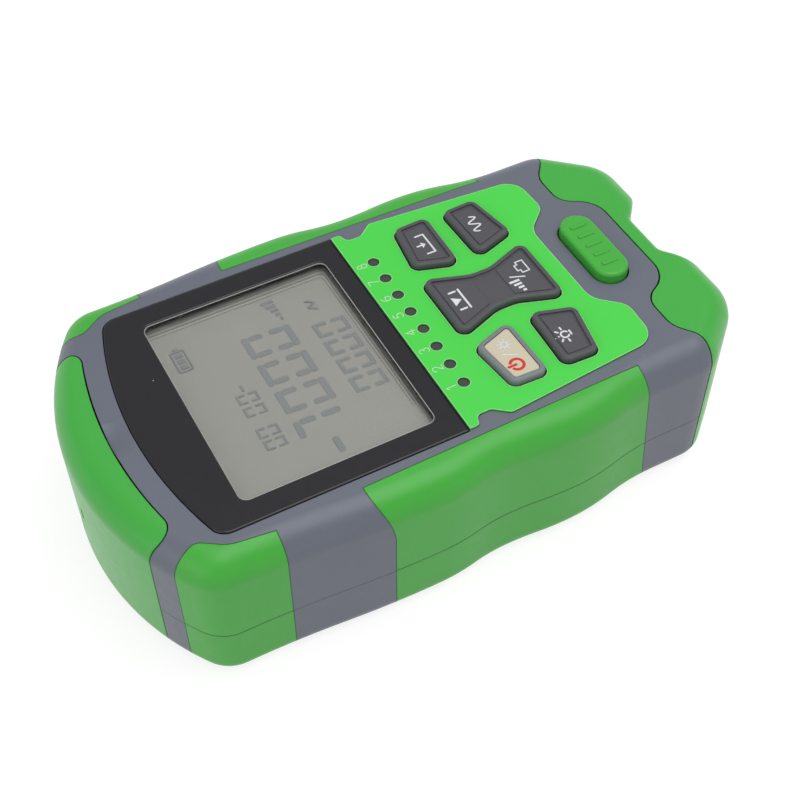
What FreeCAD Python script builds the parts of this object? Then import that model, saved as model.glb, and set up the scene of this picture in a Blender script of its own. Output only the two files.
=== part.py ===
"""Handheld fibre optic power meter with a network cable tester, lying on its back.

Frame: +X to the reader's right, +Y towards the display end, +Z out of the front face.
The origin is under the middle of the casing, on the surface that it lies on. Units: mm.
"""
import FreeCAD, Part
import math
import os
import re

import Sketcher
from FreeCAD import Placement, Rotation, Vector

doc = FreeCAD.newDocument("optical_power_meter")
sheet = doc.addObject("Spreadsheet::Sheet", "dims")
NODES = {}
LEVELS = {}

# ---------------------------------------------------------------- driving dimensions, in mm
DIMENSIONS = {
    "body_height": 30.0,  # back face to front face
    "parting_height": 12.0,  # back face to the line between the two shells
    "head_half": 32.0,  # half width at the display end's corners
    "palm_half": 33.6,  # half width at the upper swell of the grip
    "palm_place": 8.0,  # Y of the upper swell
    "waist_half": 32.2,  # half width at the finger waist
    "waist_place": -6.0,  # Y of the waist
    "heel_half": 32.8,  # half width at the lower swell
    "heel_place": -18.0,  # Y of the lower swell
    "tail_half": 30.4,  # half width of the straight stretch at the remote's end
    "tail_place": -38.0,  # Y where that stretch starts
    "head_end": 59.0,  # Y of the display end
    "head_radius": 50.0,  # plan radius of the display end
    "corner_radius": 7.0,  # plan radius of the corners
    "lobe_radius": 9.5,  # plan radius of the remote's end corners
    "tail_end": 58.6,  # distance of the remote's end from the origin
    "tail_corner": 47.5,  # distance at which the diagonal corner starts
    "lobe_half": 20.5,  # half width at which the diagonal corner ends
    "front_round": 5.0,  # edge radius round the front face
    "rear_round": 3.5,  # edge radius round the back face
    "wall": 2.4,  # casing wall
    "skin": 1.2,  # thickness of the soft pads moulded over the shells
    "seam": 0.3,  # gap between separate mouldings
    "parting_gap": 0.12,  # gap between the two shells at the parting line

    "cover_half": 21.5,  # half width of the port cover
    "cover_corner": 48.9,  # Y of the port cover's front corners
    "cover_bow": 3.1,  # how far its front edge bows towards the end
    "cover_round": 2.5,  # plan radius of its front corners
    "cover_wall": 2.0,  # port cover wall
    "hinge_place": 56.2,  # Y of the port cover's hinge
    "hinge_height": 3.2,  # Z of the port cover's hinge
    "hinge_pin_radius": 0.75,  # hinge pin
    "hinge_fit": 0.05,  # running clearance of the pin in the cover
    "knuckle_radius": 1.7,  # hinge knuckles
    "knuckle_half": 5.0,  # half length of the rear shell's knuckle
    "knuckle_end": 9.5,  # where the cover's knuckles end
    "hinge_sweep": 4.3,  # room that the cover's lower lip needs round the hinge
    "hinge_lip": 53.7,  # Y where the cover's lower lip ends
    "scoop_radius": 12.0,  # thumb scoop in front of the cover
    "scoop_depth": 0.7,  # its depth

    "bezel_half": 25.6,  # half width of the display frame
    "bezel_low": -0.8,  # Y of its edge at the keypad
    "bezel_corner": 43.2,  # Y of its far corners
    "bezel_bow": 4.6,  # how far its far edge bows out
    "bezel_round": 3.0,  # plan radius of its far corners
    "bezel_lip": 1.4,  # thickness of its outer lip
    "bezel_ledge": 1.5,  # width of the ledge that carries it
    "bezel_proud": 0.15,  # how far it stands out of the casing
    "bezel_edge": 0.3,  # edge radius of its lip and of the window
    "bezel_drop": 3.1,  # depth of its inner wall under the front face
    "window_half": 21.2,  # half width of the window
    "window_low": 2.6,  # Y of the window's near edge
    "window_high": 37.8,  # Y of the window's far edge
    "window_round": 1.6,  # corner radius of the window
    "lens_lap": 1.0,  # how far the lens reaches under the frame
    "lens_sink": 0.9,  # depth of the lens under the front face
    "lens_thick": 1.1,  # lens
    "panel_thick": 1.8,  # display glass
    "panel_gap": 0.2,  # lens to display glass
    "panel_lap": 0.9,  # how far the display glass reaches past the window

    "overlay_half": 25.6,  # half width of the keypad overlay at the display
    "overlay_tail": 23.2,  # half width of the overlay at its far end
    "overlay_end": 39.5,  # distance of the overlay's two lobes from the origin
    "overlay_notch": 34.6,  # distance of the edge between the lobes
    "overlay_gap": 9.9,  # half width of the edge between the lobes
    "overlay_thick": 1.0,  # overlay
    "overlay_proud": 0.3,  # how far it stands out of the casing
    "bite_depth": 2.2,  # side bites in the overlay
    "bite_place": -4.75,  # Y of the bites
    "bite_half": 2.0,  # half length of the bites

    "dot_pitch": 4.65,  # pitch of the eight indicator windows
    "dot_place": -5.1,  # their Y
    "dot_radius": 1.15,  # their radius
    "dot_depth": 0.75,  # their thickness

    "key_top": 31.45,  # height of the key rims
    "key_round": 0.55,  # edge radius of the key rims
    "key_corner": 1.6,  # plan radius of the key corners
    "key_rim": 0.95,  # width of the key rims
    "key_dish": 0.4,  # depth of the panel inside the rim
    "key_groove": 0.55,  # width of the groove inside the rim
    "panel_rise": 0.18,  # how far the panel stands above the groove
    "key_gap": 0.35,  # gap round each key
    "key_flange": 0.9,  # flange that keeps a key in
    "key_flange_thick": 0.8,  # thickness of that flange
    "key_travel": 0.9,  # travel of a key
    "key_outer": 21.2,  # outer edge of the four small keys
    "upper_key_high": -11.8,  # upper small keys, outer corner at the display side
    "upper_key_low": -18.7,  # upper small keys, outer corner at the far side
    "lower_key_high": -21.9,  # lower small keys, outer corner at the display side
    "lower_key_low": -28.7,  # lower small keys, outer corner at the far side
    "key_inner": 10.95,  # inner edge of the small keys away from the middle
    "key_inner_mid": 8.3,  # inner edge of the small keys near the middle
    "key_skew": 1.4,  # how much the outer ends of the key rows lean
    "rocker_half": 7.6,  # half width of the rocker key's ends
    "rocker_waist": 4.6,  # half width of its middle
    "rocker_high": -9.9,  # rocker key, end at the display side
    "rocker_low": -30.9,  # rocker key, far end
    "rocker_gap": 2.6,  # half length of the plain stretch between its two panels
    "insert_proud": 0.25,  # how far the power key's insert stands above its panel

    "board_top": 22.3,  # Z of the main board's upper face
    "board_thick": 1.6,  # main board
    "board_half": 28.0,  # half width of the main board
    "board_low": -31.6,  # Y of its lower edge
    "board_high": 45.8,  # Y of its upper edge
    "post_radius": 1.5,  # posts that seat the main board
    "post_place": 26.3,  # X of those posts
    "post_high": 15.0,  # Y of the two nearer the display end
    "post_low": -26.0,  # Y of the two others
    "mat_thick": 1.0,  # keypad mat
    "mat_gap": 0.25,  # mat plunger to key

    "cavity_high": 46.5,  # Y of the inner face of the port wall
    "cavity_low": -41.6,  # Y of the cavity's end beside the remote's bay
    "bay_half": 11.0,  # half width of the remote's bay
    "bay_low": 6.5,  # Z of the bay's floor
    "bay_high": 22.2,  # Z of the bay's ceiling
    "bay_end": -34.4,  # Y of the bay's end wall
    "bay_wall": 1.6,  # wall round the bay
    "slide_gap": 0.25,  # running gap round the remote's tenon
    "split_tip": 49.8,  # distance of the tongue's tip from the origin
    "split_valley": 43.7,  # distance of the split line beside the tongue
    "split_side": 47.2,  # distance of the split line at the sides
    "tongue_half": 11.2,  # half width of the tongue's tip
    "tongue_root": 14.6,  # half width of the tongue's root
    "valley_half": 21.8,  # outer end of the stretch beside the tongue
    "valley_out": 26.4,  # where the split line meets the side stretch
    "split_tip_round": 6.0,  # plan radius at the tongue's tip
    "split_root_round": 4.0,  # plan radius at the tongue's root
    "split_round": 5.0,  # plan radius along the side stretches
    "notch_floor": 4.6,  # half width of the notch's floor
    "notch_mouth": 11.0,  # half width of the notch's mouth
    "notch_place": 53.2,  # distance of the notch's floor from the origin
    "notch_round": 2.2,  # plan radius in the notch
    "notch_edge": 1.6,  # edge radius round the notch

    "pill_place": -41.6,  # Y of the release button
    "pill_half": 8.6,  # half length of the release button
    "pill_width": 6.6,  # width of the release button
    "pill_top": 32.0,  # height of the release button
    "pill_round": 0.7,  # its edge radius
    "pill_rib_gap": 2.6,  # pitch of the ribs on it
    "spring_place": 5.6,  # X of the two release springs

    "grip_top_high": 19.8,  # grip pad, display side boundary at the front face
    "grip_high": 16.9,  # the same boundary at the sides
    "grip_top_low": -33.1,  # grip pad, far boundary at the front face
    "grip_low": -36.4,  # the same boundary at the back
    "grip_edge_high": 27.8,  # half width between the grip pads, display side
    "grip_edge_low": 26.5,  # half width between the grip pads, far side
    "pad_low": 35.2,  # corner pad, lower boundary
    "pad_edge": 28.4,  # half width between the corner pads
    "pad_tip": 24.6,  # X of the corner pad's tip
    "pad_tip_place": 47.2,  # Y of the corner pad's tip
    "pad_tip_end": 26.2,  # X of the corner pad's end at the corner of the casing

    "cell_radius": 5.25,  # AAA cell
    "cell_length": 44.5,  # AAA cell with its cap
    "cell_pitch": 10.9,  # pitch of the three cells
    "cell_floor": 2.1,  # Z of the cells' lowest line
    "tray_half": 17.2,  # half width inside the battery tray
    "tray_low": -24.2,  # Y of the tray's spring end
    "tray_high": 26.8,  # Y of the tray's plate end
    "tray_roof": 13.4,  # Z of the underside of the tray's roof
    "tray_wall": 1.2,  # tray wall
    "door_lap": 1.6,  # how far the battery door reaches past the tray opening
    "door_thick": 1.8,  # battery door
    "door_gap": 0.25,  # gap round the battery door
    "door_round": 2.0,  # corner radius of the battery door

    "plate_thick": 0.5,  # battery contact plates
    "tab_place": 10.0,  # X of the battery door's two tabs
    "tab_half": 2.5,  # half width of those tabs
    "tab_long": 1.4,  # how far they reach past the door
    "latch_tab_half": 4.0,  # half width of the door's springy latch
    "screw_head_place": 25.2,  # X of the two case screws at the display end
    "screw_head_high": 39.5,  # Y of those screws
    "screw_tail_place": 23.0,  # X of the two case screws at the other end
    "screw_tail_low": -36.4,  # Y of those screws
    "screw_radius": 1.25,  # case screw shank
    "screw_head_radius": 2.4,  # case screw head
    "screw_head_thick": 1.8,  # case screw head
    "screw_seat": 6.0,  # Z on which the screw heads sit
    "screw_end": 19.0,  # Z of the screw tips
    "boss_radius": 3.3,  # screw bosses

    "port_place": 13.6,  # X of the two optical ports
    "port_height": 15.0,  # Z of the optical ports
    "port_mouth": 52.8,  # Y of their mouths
    "port_bore": 1.26,  # radius of the ferrule bore
    "port_bore_deep": 8.0,  # depth of the ferrule bore
    "power_collar": 4.6,  # radius of the power port's threaded collar
    "laser_collar": 3.9,  # radius of the laser port's collar
    "port_fit": 0.2,  # gap round the ports in the port wall
    "jack_half": 8.0,  # half width of a network jack
    "jack_high": 13.4,  # height of a network jack
    "jack_deep": 15.0,  # depth of a network jack
    "jack_face": 51.2,  # Y of the network jack's face
    "socket_half": 5.95,  # half width of a jack's socket
    "socket_high": 6.9,  # height of a jack's socket
    "socket_deep": 11.5,  # depth of a jack's socket
    "socket_lift": 1.9,  # jack's floor to its socket
    "latch_half": 3.1,  # half width of the latch slot in a socket
    "latch_high": 2.2,  # height of that slot
    "torch_radius": 2.2,  # torch lamp
    "torch_height": 23.9,  # Z of the torch lamp
}
for row, (alias, value) in enumerate(DIMENSIONS.items(), 1):
    sheet.set("A%d" % row, str(value))
    sheet.setAlias("A%d" % row, alias)
    sheet.set("B%d" % row, alias.replace("_", " "))
doc.recompute()


def link(expression):
    """Gives an expression with each sheet name led by the sheet's own name."""
    return re.sub(r"[A-Za-z_]\w*", lambda m: "dims." + m[0] if m[0] in DIMENSIONS else m[0], str(expression))


def num(expression):
    """Gives the present value of an expression of sheet names."""
    return float(sheet.evalExpression(link(expression)))


def bind(item, path, expression):
    """Ties one property to an expression of sheet names."""
    item.setExpression(path, link(expression))


# ---------------------------------------------------------------- sketches
def corner(across, along, round=None, bow=None):
    """One corner of an outline: round is its own radius, bow the rise of the side that leaves it."""
    return (str(across), str(along), round, bow)


def mirrored(half, bow=None):
    """Completes an outline from its right half, listed from its low end to its high end."""
    left = []
    for place in range(len(half) - 1, -1, -1):
        across, along, round_, _ = half[place]
        left.append(corner("-(%s)" % across, along, round_, half[place - 1][3] if place else bow))
    return half + left


def bow_radius(start, end, rise):
    """Expression for the radius of an arc from its end points and its rise."""
    chord = "((%s) - (%s))^2 + ((%s) - (%s))^2" % (start[0], end[0], start[1], end[1])
    return "(%s) / (8 * (%s)) + (%s) / 2" % (chord, rise, rise)


def lock(sketch, geo, point, across, along):
    """Ties a point of the sketch to two expressions."""
    at = sketch.getPoint(geo, point)
    column = sketch.addConstraint(Sketcher.Constraint("DistanceX", -1, 1, geo, point, at.x))
    bind(sketch, "Constraints[%d]" % column, across)
    line = sketch.addConstraint(Sketcher.Constraint("DistanceY", -1, 1, geo, point, at.y))
    bind(sketch, "Constraints[%d]" % line, along)


def lock_radius(sketch, geo, radius):
    """Ties the radius of an arc or circle to an expression."""
    row = sketch.addConstraint(Sketcher.Constraint("Radius", geo, num(radius)))
    bind(sketch, "Constraints[%d]" % row, radius)


def arc(centre, radius, start, end):
    """An arc that runs anticlockwise from one point to another."""
    first = math.atan2(start.y - centre.y, start.x - centre.x)
    last = math.atan2(end.y - centre.y, end.x - centre.x)
    return Part.ArcOfCircle(Part.Circle(centre, Vector(0, 0, 1), radius), first, last)


def outline(sketch, corners):
    """Draws a closed anticlockwise outline and ties all of it to its expressions."""
    count = len(corners)
    spots = [Vector(num(c[0]), num(c[1]), 0) for c in corners]
    leave = []
    reach = []
    for k in range(count):
        back = (spots[k - 1] - spots[k]).normalize()
        ahead = (spots[(k + 1) % count] - spots[k]).normalize()
        cut_back = 0.0
        if corners[k][2] is not None:
            half_turn = (math.pi - back.getAngle(ahead)) / 2
            cut_back = num(corners[k][2]) * math.tan(half_turn)
        reach.append(spots[k] + back * cut_back)
        leave.append(spots[k] + ahead * cut_back)
    sides = []
    for k in range(count):
        start = leave[k]
        end = reach[(k + 1) % count]
        rise = corners[k][3]
        if rise is None:
            sides.append((sketch.addGeometry(Part.LineSegment(start, end), False), 1, 2))
            continue
        bow = num(rise)
        along = (end - start).normalize()
        outward = Vector(along.y, -along.x, 0)
        radius = (end - start).Length ** 2 / (8 * abs(bow)) + abs(bow) / 2
        crown = (start + end) / 2 + outward * bow
        centre = crown - outward * math.copysign(radius, bow)
        ends = (start, end) if bow > 0 else (end, start)
        geo = sketch.addGeometry(arc(centre, radius, *ends), False)
        sides.append((geo, 1, 2) if bow > 0 else (geo, 2, 1))
        length = bow_radius(corners[k], corners[(k + 1) % count], rise if bow > 0 else "-(%s)" % rise)
        lock_radius(sketch, geo, length)
    for k in range(count):
        before, _, before_end = sides[k - 1]
        after, after_start, _ = sides[k]
        across, along, radius, _ = corners[k]
        if radius is None:
            sketch.addConstraint(Sketcher.Constraint("Coincident", before, before_end, after, after_start))
            lock(sketch, after, after_start, across, along)
            continue
        back = (spots[k - 1] - spots[k]).normalize()
        ahead = (spots[(k + 1) % count] - spots[k]).normalize()
        half = back.getAngle(ahead) / 2
        centre = spots[k] + (back + ahead).normalize() * (num(radius) / math.sin(half))
        left_turn = back.cross(ahead).z < 0
        ends = (reach[k], leave[k]) if left_turn else (leave[k], reach[k])
        bend = sketch.addGeometry(arc(centre, num(radius), *ends), False)
        first, last = (1, 2) if left_turn else (2, 1)
        apex = sketch.addGeometry(Part.Point(spots[k]), True)
        lock(sketch, apex, 1, across, along)
        sketch.addConstraint(Sketcher.Constraint("PointOnObject", apex, 1, before))
        sketch.addConstraint(Sketcher.Constraint("PointOnObject", apex, 1, after))
        sketch.addConstraint(Sketcher.Constraint("Tangent", before, before_end, bend, first))
        sketch.addConstraint(Sketcher.Constraint("Tangent", bend, last, after, after_start))
        lock_radius(sketch, bend, radius)


def disc(sketch, across, along, radius):
    """Draws a circle and ties it to its expressions."""
    spot = Vector(num(across), num(along), 0)
    geo = sketch.addGeometry(Part.Circle(spot, Vector(0, 0, 1), num(radius)), False)
    lock(sketch, geo, 3, across, along)
    lock_radius(sketch, geo, radius)


def plane_of(body, role):
    """One of a body's own origin planes."""
    return next(item for item in body.Origin.OriginFeatures if item.Role == role)


def sketch_in(body, name, plane="XY_Plane", level="0"):
    """An empty sketch in a body, lifted off one of its planes."""
    sketch = body.newObject("Sketcher::SketchObject", name)
    sketch.AttachmentSupport = [(plane_of(body, plane), "")]
    sketch.MapMode = "FlatFace"
    bind(sketch, "AttachmentOffset.Base.z", level)
    LEVELS[sketch.Name] = level
    return sketch


def start(name):
    """An empty body."""
    return doc.addObject("PartDesign::Body", name)


def pad(body, sketch, length, name):
    """Raises a sketch into a solid."""
    feature = body.newObject("PartDesign::Pad", name)
    feature.Profile = sketch
    bind(feature, "Length", length)
    return feature


def round_over(body, name, radius, chosen):
    """Rounds the chosen edges of a body's last feature."""
    doc.recompute()
    base = body.Tip
    names = ["Edge%d" % (k + 1) for k, edge in enumerate(base.Shape.Edges) if chosen(edge)]
    feature = body.newObject("PartDesign::Fillet", name)
    feature.Base = (base, names)
    bind(feature, "Radius", radius)
    return feature


def body_from(name, solid):
    """A body that starts from a finished solid."""
    doc.recompute()
    body = start(name)
    body.BaseFeature = solid
    doc.recompute()
    return body


def upright(edge):
    """True for an edge that runs along Z."""
    box = edge.BoundBox
    return box.ZLength > 0.01 and max(box.XLength, box.YLength) < 0.001


def level_edge(height):
    """A test for edges that lie at one height."""
    target = num(height)
    return lambda edge: edge.BoundBox.ZLength < 0.001 and abs(edge.BoundBox.ZMin - target) < 0.001


def prism(name, corners, low, high):
    """A body padded from an outline between two heights."""
    body = start(name)
    sketch = sketch_in(body, name + "_plan", "XY_Plane", low)
    outline(sketch, corners)
    pad(body, sketch, "(%s) - (%s)" % (high, low), name + "_pad")
    return body


def plan_of(body):
    """The first sketch of a body."""
    return next(item for item in body.Group if item.isDerivedFrom("Sketcher::SketchObject"))


def slab(name, sketch, low, high, grow=None):
    """An extrusion of a sketch, grown or shrunk all round first, between two heights."""
    source = sketch
    if grow is not None:
        source = doc.addObject("Part::Offset2D", name + "_edge")
        source.Source = sketch
        source.Join = 0
        bind(source, "Value", grow)
    solid = doc.addObject("Part::Extrusion", name)
    solid.Base = source
    solid.DirMode = "Custom"
    solid.Dir = Vector(0, 0, 1)
    solid.Solid = True
    plane = LEVELS[sketch.Name]
    bind(solid, "LengthFwd", "(%s) - (%s)" % (high, plane))
    bind(solid, "LengthRev", "(%s) - (%s)" % (plane, low))
    return solid


# ---------------------------------------------------------------- primitives and booleans
def block(name, low, high):
    """A box between two corners, each given as three expressions."""
    solid = doc.addObject("Part::Box", name)
    for axis, side, bottom, top in zip("xyz", ("Length", "Width", "Height"), low, high):
        bind(solid, side, "(%s) - (%s)" % (top, bottom))
        bind(solid, "Placement.Base." + axis, bottom)
    return solid


def rod(name, radius, start_at, length, axis="z"):
    """A cylinder from a point along one axis."""
    solid = doc.addObject("Part::Cylinder", name)
    bind(solid, "Radius", radius)
    bind(solid, "Height", length)
    turn = {"z": Rotation(), "y": Rotation(Vector(1, 0, 0), -90), "x": Rotation(Vector(0, 1, 0), 90)}
    solid.Placement = Placement(Vector(), turn[axis])
    for letter, value in zip("xyz", start_at):
        bind(solid, "Placement.Base." + letter, value)
    return solid


def fuse(name, *solids):
    """One solid from several that meet."""
    result = doc.addObject("Part::MultiFuse", name)
    result.Shapes = list(solids)
    result.Refine = True
    return result


def group(name, *solids):
    """Several separate solids that make one kind of piece."""
    result = doc.addObject("Part::Compound", name)
    result.Links = list(solids)
    return result


def common(name, *solids):
    """What several solids share."""
    result = doc.addObject("Part::MultiCommon", name)
    result.Shapes = list(solids)
    result.Refine = True
    return result


def cut(name, base, *tools):
    """A solid less one or more others."""
    result = doc.addObject("Part::Cut", name)
    result.Base = base
    result.Tool = tools[0] if len(tools) == 1 else fuse(name + "_tools", *tools)
    result.Refine = True
    return result


def mirror(name, solid):
    """The other hand of a solid, across the middle plane."""
    result = doc.addObject("Part::Mirroring", name)
    result.Source = solid
    result.Normal = Vector(1, 0, 0)
    return result


def node(name, item):
    """Names a finished piece."""
    item.Label = name
    NODES[name] = item
    return item


# ---------------------------------------------------------------- casing form
def tangent_bend(before, apex, after, radius):
    """Start, middle and end of the arc that rounds one corner."""
    back = (before - apex).normalize()
    ahead = (after - apex).normalize()
    half = back.getAngle(ahead) / 2
    centre = apex + (back + ahead).normalize() * (radius / math.sin(half))
    length = radius / math.tan(half)
    middle = centre + (apex - centre).normalize() * radius
    return apex + back * length, middle, apex + ahead * length


def swells(stops):
    """The wavy side: between two stops it leaves and arrives along Y, over two equal arcs."""
    edges = []
    for high, low in zip(stops, stops[1:]):
        across = low.x - high.x
        drop = high.y - low.y
        radius = (across ** 2 + drop ** 2) / (4 * abs(across))
        turn = math.asin(drop / 2 / radius) / 2
        lean = Vector(math.copysign(radius * (1 - math.cos(turn)), across), -radius * math.sin(turn), 0)
        middle = (high + low) / 2
        edges.append(Part.Arc(high, high + lean, middle).toShape())
        edges.append(Part.Arc(middle, low - lean, low).toShape())
    return edges


def casing_outline(inset):
    """Plan of the casing, drawn in all round, with its wavy finger grip."""
    head = num("head_half")
    bend = num("corner_radius")
    sweep = num("head_radius")
    sweep_y = num("head_end") - sweep
    bend_x = head - bend
    bend_y = sweep_y + math.sqrt((sweep - bend) ** 2 - bend_x ** 2)
    reach = (sweep - inset) / (sweep - bend)
    shoulder = Vector(bend_x * reach, sweep_y + (bend_y - sweep_y) * reach, 0)
    side_top = Vector(head - inset, bend_y, 0)
    lean = (Vector(bend_x, bend_y, 0) - Vector(0, sweep_y, 0)).getAngle(Vector(1, 0, 0)) / 2
    knee = Vector(bend_x + (bend - inset) * math.cos(lean), bend_y + (bend - inset) * math.sin(lean), 0)
    wave = [side_top]
    for swell in ("palm", "waist", "heel"):
        wave.append(Vector(num(swell + "_half") - inset, num(swell + "_place"), 0))
    wave.append(Vector(num("tail_half") - inset, num("tail_place"), 0))
    side_low = Vector(num("tail_half"), -num("tail_corner"), 0)
    lobe = Vector(num("lobe_half"), -num("tail_end"), 0)
    slope = (lobe - side_low).normalize()
    face_side = Vector(1, 0, 0)
    face_slope = Vector(-slope.y, slope.x, 0)
    face_end = Vector(0, -1, 0)
    first = side_low - (face_side + face_slope) * (inset / (1 + face_side.dot(face_slope)))
    second = lobe - (face_slope + face_end) * (inset / (1 + face_slope.dot(face_end)))
    middle = Vector(0, second.y, 0)
    bend_one = tangent_bend(wave[-1], first, second, bend - inset)
    bend_two = tangent_bend(first, second, middle, num("lobe_radius") - inset)

    right = swells(wave) + [
        Part.Arc(shoulder, knee, side_top).toShape(),
        Part.LineSegment(wave[-1], bend_one[0]).toShape(),
        Part.Arc(*bend_one).toShape(),
        Part.LineSegment(bend_one[2], bend_two[0]).toShape(),
        Part.Arc(*bend_two).toShape(),
    ]
    left = [edge.mirror(Vector(), Vector(1, 0, 0)) for edge in right]
    top = Part.Arc(Vector(-shoulder.x, shoulder.y, 0), Vector(0, sweep_y + sweep - inset, 0), shoulder)
    end = Part.LineSegment(bend_two[2], Vector(-bend_two[2].x, bend_two[2].y, 0))
    return Part.Wire(Part.__sortEdges__([top.toShape(), end.toShape()] + right + left))


def casing_form(name, inset):
    """The casing's outer form, drawn in all round, with its rounded front and back edges."""
    depth = num(inset)
    top = num("body_height") - depth
    solid = Part.Face(casing_outline(depth)).extrude(Vector(0, 0, top - depth))
    solid.translate(Vector(0, 0, depth))
    front = [edge for edge in solid.Edges if edge.BoundBox.ZMin > top - 0.001]
    back = [edge for edge in solid.Edges if edge.BoundBox.ZMax < depth + 0.001]
    solid = solid.makeFillet(num("front_round") - depth, front)
    back = [edge for edge in solid.Edges if edge.BoundBox.ZMax < depth + 0.001]
    solid = solid.makeFillet(num("rear_round") - depth, back)
    item = doc.addObject("Part::Feature", name)
    item.Shape = solid
    return item


outer_form = casing_form("outer_form", "0")
seat_form = casing_form("seat_form", "skin")
cavity_form = casing_form("cavity_form", "wall")
skin_form = cut("skin_form", outer_form, seat_form)

FAR = "100"
FRONT_FOOT = "parting_height + parting_gap / 2"
front_half = block("front_half", ("-" + FAR, "-" + FAR, FRONT_FOOT), (FAR, FAR, "body_height + 1"))
rear_half = block("rear_half", ("-" + FAR, "-" + FAR, "-1"), (FAR, FAR, "parting_height - parting_gap / 2"))


# ---------------------------------------------------------------- zones that split the casing
def cover_zone(name, gap, low, high):
    """Plan of the port cover, grown by a gap, between two heights."""
    front = "cover_corner - (%s)" % gap
    half = "cover_half + (%s)" % gap
    corners = [
        corner("-(%s)" % half, front, bow="-cover_bow"),
        corner(half, front),
        corner(half, FAR),
        corner("-(%s)" % half, FAR),
    ]
    body = prism(name, corners, low, high)
    front_y = num(front)
    near = lambda edge: upright(edge) and abs(edge.BoundBox.YMin - front_y) < 0.01
    round_over(body, name + "_round", "cover_round + (%s)" % gap, near)
    return body


def remote_plan():
    """Plan of the remote: it meets the casing along a line that runs round the tongue."""
    half = [
        corner("tongue_half", "-split_tip", round="split_tip_round"),
        corner("tongue_root", "-split_valley", round="split_root_round"),
        corner("valley_half", "-split_valley", round="split_round"),
        corner("valley_out", "-split_side", round="split_round"),
        corner(FAR, "-split_side"),
    ]
    right_first = [corner("-" + FAR, "-" + FAR), corner(FAR, "-" + FAR)]
    along = list(reversed(half))
    left = [corner("-(%s)" % c[0], c[1], c[2]) for c in half]
    return right_first + along + left


ABOVE = "body_height + 5"
cover_block = cover_zone("cover_block", "0", "-5", ABOVE)
cover_pocket = cover_zone("cover_pocket", "seam", "-6", ABOVE)
remote_block = prism("remote_block", remote_plan(), "-5", ABOVE)
remote_pocket = slab("remote_pocket", plan_of(remote_block), "-6", ABOVE, "seam")
bay = block("bay", ("-bay_half", "-" + FAR, "bay_low"), ("bay_half", "bay_end", "bay_high"))


# ---------------------------------------------------------------- soft pads
def pad_pair(stem, zone):
    """Front and rear pads on both sides, cut from the skin of the casing."""
    made = []
    for end, half in (("front", front_half), ("rear", rear_half)):
        right = common("%s_pad_%s_right" % (stem, end), skin_form, zone, half)
        left = mirror("%s_pad_%s_left" % (stem, end), right)
        node(right.Name, right)
        node(left.Name, left)
        made += [right, left]
    return made


grip_plan = prism("grip_plan", [
    corner("grip_edge_low", "grip_top_low - 12"),
    corner(FAR, "grip_top_low - 12"),
    corner(FAR, "grip_top_high + 12"),
    corner("grip_edge_high", "grip_top_high + 12"),
], "-5", ABOVE)
grip_side = start("grip_side")
grip_side_plan = sketch_in(grip_side, "grip_side_view", "YZ_Plane", "20")
outline(grip_side_plan, [
    corner("grip_low", "-5"),
    corner("grip_high", "-5"),
    corner("grip_high", "body_height - 9", bow="-0.5"),
    corner("grip_top_high", "body_height"),
    corner("grip_top_high", ABOVE),
    corner("grip_top_low", ABOVE),
    corner("grip_top_low", "body_height"),
])
pad(grip_side, grip_side_plan, "30", "grip_side_pad")
grip_zone = common("grip_zone", grip_plan, grip_side)
corner_zone = prism("corner_zone", [
    corner("pad_edge", "pad_low"),
    corner(FAR, "pad_low"),
    corner(FAR, "head_end + 5"),
    corner("pad_tip_end", "head_end + 5"),
    corner("pad_tip_end", "pad_tip_place + 5", round="3"),
    corner("pad_tip", "pad_tip_place", round="2.4"),
    corner("pad_edge - 0.9", "pad_tip_place - 4.4", round="6"),
], "-5", ABOVE)
PADS = pad_pair("grip", grip_zone) + pad_pair("corner", corner_zone)
pad_room = fuse("pad_room", *PADS)


# ---------------------------------------------------------------- openings in the front shell
def bezel_plan(draw_in):
    """Outline of the display frame, drawn in all round."""
    half = "bezel_half - (%s)" % draw_in
    low = "bezel_low + (%s)" % draw_in
    return [
        corner("-(%s)" % half, low),
        corner(half, low),
        corner(half, "bezel_corner - (%s)" % draw_in, bow="bezel_bow"),
        corner("-(%s)" % half, "bezel_corner - (%s)" % draw_in),
    ]


def bezel_block(name, draw_in, low, high):
    """The display frame's outline between two heights, with its far corners rounded."""
    body = prism(name, bezel_plan(draw_in), low, high)
    far_y = num("bezel_corner - (%s)" % draw_in)
    far = lambda edge: upright(edge) and abs(edge.BoundBox.YMin - far_y) < 0.01
    round_over(body, name + "_round", "bezel_round - (%s) / 2" % draw_in, far)
    return body


def overlay_plan():
    """Outline of the keypad overlay: side bites at the display and two lobes round the tongue."""
    half = [
        corner("overlay_gap", "-overlay_notch", round="4.5"),
        corner("overlay_gap + 4.4", "-overlay_end", round="3.2"),
        corner("overlay_tail", "-overlay_end + 0.4", round="4"),
        corner("overlay_half", "bite_place - bite_half - 2.2", round="1.0"),
        corner("overlay_half - bite_depth", "bite_place - bite_half + 0.6", round="1.3"),
        corner("overlay_half - bite_depth", "bite_place + bite_half - 0.6", round="1.3"),
        corner("overlay_half - 0.2", "bite_place + bite_half", round="0.6"),
        corner("overlay_half - 0.2", "bezel_low - seam"),
    ]
    return mirrored(half)


OVERLAY_TOP = "body_height + overlay_proud"
OVERLAY_FOOT = OVERLAY_TOP + " - overlay_thick"
overlay_blank = prism("overlay_blank", overlay_plan(), OVERLAY_FOOT, OVERLAY_TOP)
overlay_pocket = slab("overlay_pocket", plan_of(overlay_blank), OVERLAY_FOOT, ABOVE, "0.12")
bezel_pocket = bezel_block("bezel_pocket", "-seam / 2", "body_height - bezel_lip", ABOVE)
bezel_well = bezel_block("bezel_well", "bezel_ledge", "body_height - 8", ABOVE)


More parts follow.
